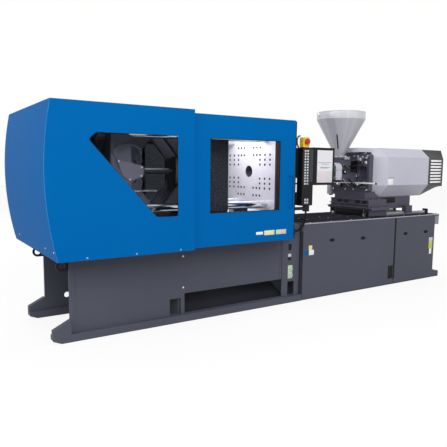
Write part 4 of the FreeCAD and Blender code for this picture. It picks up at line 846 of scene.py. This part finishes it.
DOOR_FIELDS = (("white", white_film, -372, -300, 715, 738), ("yellow", yellow_film, -286, -178, 706, 745),
               ("green", green_film, -160, -105, 706, 745), ("rose", rose_film, -105, -48, 706, 745))
COVER_FIELDS = (("yellow", yellow_film, 432, 476, 487, 530), ("white", white_film, 436, 500, 436, 486),
                ("blue", blue_coat, 384, 435, 440, 480), ("grey", key_foil, 2316, 2384, 432, 478),
                ("lime", lime_film, 2316, 2384, 350, 431), ("pale", white_film, 2330, 2372, 284, 349))
for kind, fields, face_y, body in (("door_field_", DOOR_FIELDS, -DOOR_Y, "front_door"),
                                   ("cover_field_", COVER_FIELDS, -BASE_Y, "machine_frame")):
    for colour, finish, left, right, low, high in fields:
        field(kind + colour, finish, (left, face_y - 0.6, low), (right, face_y + 0.2, high), body)

# %% [markdown]
# Behind the fork notch of the injection base hangs a black rubber sheet, painted shade that
# makes the notch look black. The fork notch of the clamp base has a rubber liner, and a
# rubber strip covers the joint of the two front covers.

# %% Shade sheet, notch liner and joint strip
TABLE_Z = corners("injection_base_frame")[1].z
cover_back = corners("base_covers_front")[1].y
# A black rubber sheet behind the notch is painted shade.
dress("notch_shade_sheet", block((1606, cover_back - 1.2, 64), (1692, cover_back + 0.3, 216), 0.3), nitrile)
dress("fork_notch_liner", block((-948, -364.5, 46), (-943.5, -338, 194), 0.8), nitrile)
dress("cover_seam_strip", block((1696, -BASE_Y - 1.8, 60), (1718, -BASE_Y + 1, TABLE_Z - 12), 0.8), nitrile)

# %% [markdown]
# The service column beside the chute carries the cooling-water couplings. It has a dark
# slot for the cable clamp, a small plate that is half pale and half black, and hexagon
# collars behind the couplings. The latches of the base covers turn inside oval cups of
# black plastic: a short bar squeezed to an oval, with a hole cut through for the latch.

# %% Service column and latch cups
slot_plate = block((212, -PLATE_Y - 4, 500), (246, -PLATE_Y + 1, 556), 2)
dress("service_slot", sink_end(slot_plate, FRONT, 5, 3), nitrile)
field("service_plate_pale", key_foil, (208, -PLATE_Y - 2, 433), (246, -PLATE_Y + 0.5, 463))
field("service_plate_dark", panel_abs, (208, -PLATE_Y - 2, 402), (246, -PLATE_Y + 0.5, 433))
collars = [rod((236, -PLATE_Y - 5, z), (236, -PLATE_Y + 0.5, z), 21, 1, 6) for z in (262, 316)]
dress("coupling_collars", collars, zinc)
surround = block((209, -PLATE_Y - 2.5, 226), (263, -PLATE_Y + 0.5, 352), 1)
dress("coupling_surround", surround, green_film)

cups = []
for i in range(1, 5):
    low, high = corners("base_latch_%d" % i)
    x, z = (low.x + high.x) / 2, (low.z + high.z) / 2
    cup = rod((x, -BASE_Y - 3, z), (x, -BASE_Y + 0.5, z), 34, 0.8, 40)
    cup.matrix_world = Matrix.Translation(at(0, 0, z / 2)) @ Matrix.Diagonal((1, 1, 0.5, 1))
    cups.append(cut_out(settle(cup), rod((x, -BASE_Y - 20, z), (x, -BASE_Y + 20, z), 16.4)))
dress("latch_cups", cups, nitrile)

# %% [markdown]
# The injection base has a dark top with rubber mats, a bright trim along its front edge that
# is partly a painted highlight for the edge's light line, a rubber lid over the cable channel
# and two stops at the ends of the guide rails. Screws hold the top down along both edges.

# %% Table top
RAIL_Y = 230
rail_end = corners("carriage_rails")[1].x
mats = [block((left, low, TABLE_Z - 0.5), (right, high, TABLE_Z + 2), 0.8)
        for left, right, low, high in ((366, 1366, -385, 385), (1380, 2478, -385, -300),
                                       (1380, 2478, 300, 385))]
dress("table_mats", mats, mat_rubber)
# The bright trim stands partly as a painted highlight on the table's front edge.
trim = block((352, -BASE_Y - 1.6, TABLE_Z - 9), (2486, -BASE_Y + 3, TABLE_Z + 1.2), 0.8)
dress("table_trim", trim, anodised)
lid = block((560, -230, TABLE_Z + 1.5), (1150, -96, TABLE_Z + 12), 2)
dress("cable_channel_lid", sink_end(lid, UP, 12, 3), mat_rubber)
places = looking(UP, [(x, y, TABLE_Z + 11) for x in (566, 855, 1144) for y in (-224, -102)])
dress("cable_channel_screws", copies(screw(4.5, 3), places), zinc)
stops = [block((rail_end + 1, y - 30, TABLE_Z - 0.5), (rail_end + 28, y + 30, TABLE_Z + 52), 3)
         for y in (-RAIL_Y, RAIL_Y)]
dress("rail_stops", stops, black_coat)
buffers = [rod((rail_end - 6, y, TABLE_Z + 42), (rail_end + 2, y, TABLE_Z + 42), 8, 2, 20)
           for y in (-RAIL_Y, RAIL_Y)]
dress("rail_stop_buffers", buffers, nitrile)
places = looking(UP, [(x, y, TABLE_Z + 1.5) for x in range(450, 2450, 280) for y in (-394, 394)])
dress("table_bolts", copies(screw(5.5, 3.5), places), zinc)

# %% [markdown]
# The platen's tapped holes are lined with steel thread inserts, blackened so that they
# don't rust. Each is a flat ring on the ground face, and the rings make the hole pattern
# read from afar. The places come from the grid that moulds are bolted to.

# %% Thread inserts of the fixed platen
insert = sink_end(rod((0, 0, 0), (0, 0, 0.9), 11.5, 0.3, 24), UP, 4, 0.7)
grid = [(y, z) for y in (175, 250, 325) for z in (65, 110)]
grid += [(y, 155) for y in (75, 125, 175, 250, 325)] + [(y, 225) for y in (75, 125, 175)]
spots = sorted({(side * y, AXIS_Z + end * z) for y, z in grid for side in (-1, 1) for end in (-1, 1)})
places = looking(LEFT, [(-0.2, y, z) for y, z in spots])
dress("platen_thread_inserts", copies(insert, places), nitrile)

# %% [markdown]
# A work lamp under the guard's ceiling lights the mould space, as on the real machine,
# where the ground platen face glows through the door's window. It is a slim aluminium
# bar from beam to beam with a lit diffuser, and a soft lamp of a few watts gives its light.

# %% Work lamp in the mould space
BEAM_Z = 1632
housing = block((-320, -520, BEAM_Z - 2), (-280, 520, BEAM_Z + 34), 4)
dress("work_lamp_housing", sink_end(housing, DOWN, 5, 4), anodised)
dress("work_lamp_diffuser", block((-313, -512, BEAM_Z - 1), (-287, 512, BEAM_Z + 4), 2), glowing_white_mat)
work_lamp = panel_lamp("work_lamp", at(-300, -60, BEAM_Z - 20), at(0, 0, 1190), 0.5, 5.5)
work_lamp.visible_camera = False

# %% [markdown]
# The operator panel is a key slab and a screen unit. The keys sit in two columns and a
# small group near the bottom, each a small block with a soft rim. A dark strip of further
# keys runs beside the screen. The screen shows a pale field, a rosy band in its lower third
# and a few plain strokes. Behind the slab are its hinge posts and a grab handle.

# %% Operator panel
FACE_Y = corners("hmi_housing")[0].y
screen_low, screen_high = corners("hmi_screen")
screen_wide, screen_tall = screen_high.x - screen_low.x, screen_high.z - screen_low.z


def key(x, z, width, height):
    """One raised key on the panel's face."""
    return block((x - width / 2, FACE_Y - 1.6, z - height / 2),
                 (x + width / 2, FACE_Y + 0.5, z + height / 2), 0.8)


keys = [key(x, 1428 - 25 * i, 19, 15) for i in range(13) for x in (290, 320)]
keys += [key(x, 980 - 26 * i, 19, 17) for i in range(2) for x in (299, 327)]
dress("panel_keys", keys, key_foil, "operator_panel")
keys = [key(x, 1420 - 22 * i, 11, 11) for i in range(13) for x in (356, 374)]
dress("panel_function_keys", keys, panel_grey, "operator_panel")
plates = [block((left, FACE_Y - 0.8, low), (right, FACE_Y + 0.5, high), 0.4)
          for left, right, low, high in ((266, 344, 1118, 1446), (286, 342, 940, 996),
                                         (347, 384, 1142, 1446))]
dress("panel_key_plates", plates, black_abs, "operator_panel")

rim = block((screen_low.x - 41, FACE_Y - 1.5, screen_low.z - 17),
            (screen_high.x + 17, FACE_Y + 0.6, screen_high.z + 17), 0.7)
opening = block((screen_low.x, FACE_Y - 9, screen_low.z), (screen_high.x, FACE_Y + 9, screen_high.z), 0.3)
dress("screen_frame", cut_out(rim, opening), panel_abs, "operator_panel")
field("screen_lower_field", rosy_screen, (screen_low.x + 2, screen_low.y - 0.4, screen_low.z + 2),
      (screen_high.x - 2, screen_low.y + 0.2, screen_low.z + 0.36 * screen_tall), "operator_panel")
strokes = []
for share, left, right in ((0.62, 0.08, 0.92), (0.57, 0.3, 0.75), (0.47, 0.2, 0.85), (0.45, 0.25, 0.7)):
    z = screen_low.z + share * screen_tall
    strokes.append(block((screen_low.x + left * screen_wide, screen_low.y - 0.7, z - 2),
                         (screen_low.x + right * screen_wide, screen_low.y + 0.1, z + 2), 0.1))
dress("screen_strokes", strokes, ink_film, "operator_panel")

stop_y = corners("estop_base")[0].y
low, high = corners("estop_button")
x, z = (low.x + high.x) / 2, (low.z + high.z) / 2
dress("stop_collar", rod((x, stop_y - 3, z), (x, stop_y + 1, z), 22, 1), yellow_abs, "operator_panel")
dress("stop_nut", rod((x, stop_y - 5, z), (x, stop_y - 2, z), 15, 0.8), panel_abs, "operator_panel")
posts = [block((238, -424, low), (256.5, -400, high), 3)
         for low, high in ((1186, 1456), (928, 1048), (1120, 1135))]
dress("panel_hinge_posts", posts, panel_abs, "operator_panel")
grip = [(262, -415, 1455), (240, -418, 1492), (236, -420, 1530), (250, -420, 1560), (272, -418, 1566)]
dress("panel_grab_handle", bead(grip, 8), link_casting, "operator_panel", smooth=60)
dress("arm_screws", copies(screw(6, 4), looking(FRONT, [(x, -424, 897) for x in (150, 190)])), zinc)
dress("conduit_gland", rod((184, -450, 690), (202, -450, 690), 15, 1.5, 8), nitrile)

# %% [markdown]
# Between the hopper and the drive cover the injection unit is open, and its small parts
# catch the light: nuts on the guide rods, corner screws of the cast plate, a water coupling
# with a bright centre on the feed throat, the bar's black end knobs and a cable box behind.
# Two plain white fields on the cast plate and a white sleeve on the bar are painted
# highlights. A black panel on the throat is painted shade, a dark sheet for a dark cavity.
# The saddle's slabs show their bolts. Black rubber sheets close the gap under the saddle and
# a black plate the slot in the pedestal, painted shade where shade falls.

# %% Injection unit's fittings
PLATE_X = 1400
THROAT_Y = -100
low, high = corners("injection_front_plate")
places = looking(LEFT, [(1382, y, AXIS_Z + z) for y in (-150, 150) for z in (-130, 130)])
dress("guide_rod_nuts", copies(bolt(21, 20), places), zinc, "carriage")
places = looking(LEFT, [(PLATE_X, y, z) for y in (-246, -60, 60, 246) for z in (1042, 1408)])
dress("front_plate_screws", copies(screw(11, 8), places), zinc, "carriage")
knobs = []
for y in (low.y, high.y):
    bpy.ops.object.select_all(action="DESELECT")
    bpy.ops.mesh.primitive_uv_sphere_add(segments=24, ring_count=14, radius=11 * MM,
                                         location=at(BAR_X, y, BAR_Z))
    knobs.append(settle(bpy.context.object))
dress("bar_knobs", knobs, nitrile, "carriage")
# A white sleeve on the bar is a painted highlight along it.
sleeve = rod((BAR_X, -384, BAR_Z), (BAR_X, -112, BAR_Z), 9, 1.5, 24)
dress("bar_highlight_sleeve", sleeve, white_film, "carriage")

socket = rod((1196, THROAT_Y - 16, 1236), (1196, THROAT_Y + 1, 1236), 24, 2.5, 32)
dress("throat_coupling", sink_end(socket, FRONT, 6, 5), nitrile, "carriage")
core = rod((1196, THROAT_Y - 19, 1236), (1196, THROAT_Y - 8, 1236), 11, 2, 24)
dress("throat_coupling_core", core, chrome, "carriage")
# A black panel, sunk a little, is painted shade for the dark cavity on the throat.
service = block((1292, THROAT_Y - 3, 1232), (1390, THROAT_Y + 0.5, 1354), 1.5)
dress("throat_shade_panel", sink_end(service, FRONT, 8, 2), panel_abs, "carriage")
ports = [rod((x, THROAT_Y - 14, z), (x, THROAT_Y + 0.5, z), 10, 1.5, 6)
         for x, z in ((1262, 1164), (1262, 1308), (1180, 1308), (1180, 1152))]
dress("throat_water_ports", ports, brass, "carriage")
# Two white fields on the cast plate are painted highlights, one showing as a bright rim round the steel cap.
plates = [block((PLATE_X - 2.5, -112, 1348), (PLATE_X + 0.3, -104, 1416), 0.5),
          block((PLATE_X - 2.5, -232, 1300), (PLATE_X + 0.3, -178, 1352), 0.8)]
dress("front_plate_highlight_fields", plates, white_film, "carriage")
low, high = corners("throat_cover")
places = looking(FRONT, [(x, low.y, z) for x in (low.x + 14, high.x - 14) for z in (1168, 1252)])
dress("throat_hood_screws", copies(screw(5, 3), places), black_abs, "carriage")
dress("carriage_cable_box", block((1378, 270.2, 972), (1452, 330, 1086), 4), light_abs, "carriage")
glands = [rod((x, 300, 958), (x, 300, 974), 11, 1.5, 8) for x in (1398, 1430)]
dress("carriage_cable_glands", glands, nitrile, "carriage")

places = looking(UP, [(x, y, 935) for x in (1470, 1560, 1650) for y in (-255, 255)])
dress("carriage_bolts", copies(bolt(11, 12), places), black_steel, "carriage")
places = looking(UP, [(x, y, 850) for x in (1425, 1545, 1665) for y in (-302, 302)])
dress("carriage_lip_bolts", copies(bolt(9, 10), places), black_steel, "carriage")
# Black rubber sheets at the saddle's end close the gap under it as painted shade.
shade_skirts = [block((PLATE_X - 2, y, TABLE_Z + 3), (PLATE_X + 1, y + wide, 821), 0.6)
          for y, wide in ((-286, 30), (-204, 408), (256, 30))]
dress("carriage_shade_skirts", shade_skirts, nitrile, "carriage")
# A black plate over the pedestal's slot is painted shade.
dress("pedestal_slot_shade_plate", block((1700, -201.4, 886), (1936, -199, 947), 0.8), nitrile, "carriage")

# %% [markdown]
# Black hoses carry water from the throat to the cast plate, and a bright conduit runs
# beside them. Their lines sag between the ends as hoses do. Lighter strips line the long
# edges of the saddle's slabs as painted highlights, where the photograph shows pale lines.

# %% Hoses of the feed throat and strips of the saddle
def hose(start, end, sag, radius, steps=14):
    """A round hose from start to end that hangs down by a sag at the middle."""
    points = []
    for i in range(steps + 1):
        share = i / steps
        point = Vector(start).lerp(Vector(end), share)
        point.z -= sag * 4 * share * (1 - share)
        points.append(point)
    return bead(points, radius)


hoses = [hose((1262, -112, 1308), (PLATE_X - 1, -170, 1392), 46, 7),
         hose((1262, -112, 1164), (PLATE_X - 1, -196, 1120), 60, 7),
         hose((1180, -112, 1308), (PLATE_X - 1, -222, 1384), 96, 6)]
dress("throat_hoses", hoses, nitrile, "carriage", smooth=60)
pipe = hose((1180, -112, 1152), (PLATE_X - 1, -80, 1076), 34, 6)
dress("throat_conduit", pipe, zinc, "carriage", smooth=60)
places = looking(LEFT, [(PLATE_X, y, z) for y, z in ((-170, 1392), (-196, 1120), (-222, 1384))])
dress("hose_entries", copies(bolt(12, 14), places), zinc, "carriage")
caps = [rod((1384, y, z), (PLATE_X + 0.4, y, z), 24, 3) for y, z in ((-200, 1326), (-118, 1196))]
dress("front_plate_caps", [sink_end(cap, LEFT, 7, 5) for cap in caps], steel, "carriage")
# Lighter strips along the slabs' edges are painted highlights.
strips = [block((left, y, low), (right, y + 2.6, high), 1)
          for left, right, y, low, high in ((1402, 1688, -281.6, 928, 936), (1402, 1688, -326.6, 844, 851),
                                            (1692, 2203, -201.6, 950, 958.6))]
strips += [block((left, -y, low), (PLATE_X + 0.3, y, high), 1.2)
           for left, y, low, high in ((1388, 276, 926, 936), (1384, 292, 878, 887), (1380, 322, 841, 850))]
dress("saddle_highlight_strips", strips, slate_sheet, "carriage")
clamps = [block((1386, y - 24, 894), (PLATE_X + 0.3, y + 24, 922), 2) for y in (-225, -130, 40, 150)]
dress("saddle_cable_clamps", clamps, black_coat, "carriage")
places = looking(LEFT, [(PLATE_X, y, z) for y in (-256, -85, 95, 250) for z in (862, 908)])
dress("saddle_screws", copies(bolt(7, 8), places), black_steel, "carriage")

# %% [markdown]
# The hopper is sheet metal, so its rim is rolled over a wire and two toggle clips hold the
# lid. The roll is a torus, and each clip is a small folded plate with its hook. Bolts hold
# the flange to the throat.

# %% Hopper's fittings
low, high = corners("hopper")
RIM_R = (high.x - low.x) / 2
rings = []
for z, thick in ((high.z - 2, 3.5), (high.z - 72, 2.5)):
    bpy.ops.object.select_all(action="DESELECT")
    bpy.ops.mesh.primitive_torus_add(location=at(HOPPER_X, 0, z), major_radius=RIM_R * MM,
                                     minor_radius=thick * MM, major_segments=96, minor_segments=10)
    rings.append(settle(bpy.context.object))
dress("hopper_rim_rolls", rings, rim_coat, "carriage", smooth=60)
angles = [math.radians(a) for a in range(15, 375, 45)]
places = looking(UP, [(HOPPER_X + 67 * math.cos(a), 67 * math.sin(a), 1398) for a in angles])
dress("hopper_flange_bolts", copies(bolt(6, 7), places), zinc, "carriage")
clips = []
for angle in (130, 250):
    clip = joined([block((-14, -3, -46), (14, 3, -8), 1.2), block((-8, -5, -10), (8, 4, 3.5), 1.2),
                   rod((-17, 2, -26), (17, 2, -26), 3, 0.6, 16)])
    turn = Matrix.Rotation(math.radians(angle), 4, "Z")
    outward = Matrix.Translation(at(0, -RIM_R - 4, 0))
    clip.matrix_world = Matrix.Translation(at(HOPPER_X, 0, 1868)) @ turn @ outward
    clips.append(settle(clip))
dress("lid_clips", clips, zinc, "carriage")

# %% [markdown]
# The moulded drive cover is held by screws and split from the end cap by a dark joint. A
# wall closes its visor towards the hopper. A plain white field sits low on its front, under
# a fine dark line. Behind the cap's openings lies a filter mat, a white board that glows a
# little: painted light that makes the openings look bright from outside. It is a thin board
# turned to follow the cap's tapering wall.

# %% Drive cover and end cap
SIDE_Y = corners("injection_cover")[0].y
cap_low, cap_high = corners("injection_end_cap")
spots = [(x, SIDE_Y, 1112) for x in (1700, 2040, 2370)] + [(x, SIDE_Y, 1380) for x in (1700, 2370)]
dress("drive_cover_screws", copies(screw(5.5, 3), at_both_sides(spots)), zinc, "carriage")
field("drive_cover_field", white_film, (1674, SIDE_Y - 0.5, 1096), (1762, SIDE_Y + 0.3, 1160), "carriage")
field("drive_cover_line", ink_film, (1674, SIDE_Y - 0.5, 1169), (1780, SIDE_Y + 0.3, 1174), "carriage")
dress("visor_wall", block((1346, -158, 1447), (1351, 158, 1492), 1.5), light_abs, "carriage")
joints = [block((cap_low.x - 4, y, 1094), (cap_low.x, y + 2.4, 1396), 0.4)
          for y in (SIDE_Y - 0.4, -SIDE_Y - 2)]
dress("cover_joints", joints, nitrile, "carriage")

TAPER_IN, TAPER_LONG = 75, 388
boards = []
for side in (-1, 1):
    board = block((0, -1.5, 1080), (322, 1.5, 1384), 0.5)
    place = Matrix.Translation(at(2436, side * (300 - TAPER_IN * 44 / TAPER_LONG - 9), 0))
    board.matrix_world = place @ Matrix.Rotation(-side * math.atan2(TAPER_IN, TAPER_LONG), 4, "Z")
    boards.append(settle(board))
# The glow of these mats is painted light.
dress("cap_filter_mats", boards, glowing_white_mat, "carriage")
places = looking(RIGHT, [(cap_high.x - 3.8, y, z) for y in (-190, 190) for z in (1095, 1370)])
dress("end_cap_screws", copies(screw(6, 4), places), zinc, "carriage")

# %% [markdown]
# Each heater band is a clamped jacket with a ceramic terminal block on top, from which two
# studs rise, and two clamps below. Brown ceramic and bright studs tell the eye that these
# rings are heaters.

# %% Barrel heaters
BANDS_X = range(275, 1175, 180)
places = [Matrix.Translation(at(x, 0, 1301)) for x in BANDS_X]
dress("heater_terminals", copies(block((-16, -13, 0), (16, 13, 16), 2), places), ceramic, "carriage")
places = looking(UP, [(x + beside, 0, 1316) for x in BANDS_X for beside in (-8, 8)])
dress("heater_studs", copies(bolt(4, 12), places), zinc, "carriage")
clamps = [block((x + beside, -7, 1163), (x + beside + 20, 7, 1172), 1.5)
          for x in BANDS_X for beside in (-50, 30)]
dress("heater_clamps", clamps, steel, "carriage")

# %% [markdown]
# Behind the slanted window the photograph shows a slate plate on the tailstock's side with
# a looped pipe above it, a bright lubrication rail lower down, and pin ends on the links.
# The plate is a flat outline that is filled and thickened, its edges eased.

# %% Clamp mechanism's fittings
GUARD_Y = -412
GUARD = ((-1501, 1328), (-1286, 1278), (-1291, 1195), (-1401, 1162), (-1452, 1206))
GUARD_THICK = 11.6

mesh = bpy.data.meshes.new("guard")
mesh.from_pydata([at(x, GUARD_Y, z) for x, z in GUARD], [], [range(len(GUARD))])
guard = bpy.data.objects.new("guard", mesh)
bpy.context.scene.collection.objects.link(guard)
only(guard)
bpy.ops.object.mode_set(mode="EDIT")
bpy.ops.mesh.select_all(action="SELECT")
bpy.ops.mesh.extrude_region_move(TRANSFORM_OT_translate={"value": Vector(REAR) * GUARD_THICK * MM})
bpy.ops.mesh.select_all(action="SELECT")
bpy.ops.mesh.normals_make_consistent(inside=False)
bpy.ops.object.mode_set(mode="OBJECT")
dress("tailstock_side_guard", ease(guard, 1.5), slate_sheet, "tailstock")
spots = [(x, GUARD_Y, z) for x, z in ((-1484, 1312), (-1302, 1268), (-1304, 1204), (-1398, 1176))]
dress("side_guard_screws", copies(screw(6, 4), looking(FRONT, spots)), zinc, "tailstock")
angles = [math.radians(a) for a in range(-10, 221, 15)]
loop = [(-1415 + 108 * math.cos(a), GUARD_Y, 1378 + 58 * math.sin(a)) for a in angles]
dress("grease_loop", bead(loop, 8), link_casting, "tailstock", smooth=60)
rails = [rod((-1372, y, 1082), (-1120, y, 1082), 7, 1, 24) for y in (-290, 290)]
holders = [block((-1384, y - 16, 1066), (-1366, y + 16, 1098), 3) for y in (-290, 290)]
dress("lubrication_rails", rails, chrome, "tailstock")
dress("lubrication_holders", holders, casting, "tailstock")
for name, body, x, y in (("tail_pin_caps", "tailstock", -1291, -145),
                         ("platen_pin_caps", "moving_platen", -759.55, -185)):
    places = at_both_sides([(x, y, AXIS_Z + z) for z in (-90, 90)])
    dress(name, copies(bolt(16, 6), places), zinc, body)
dress("motor_terminal_box", block((-1722, -70, 1362), (-1600, 70, 1420), 5), casting, "tailstock")
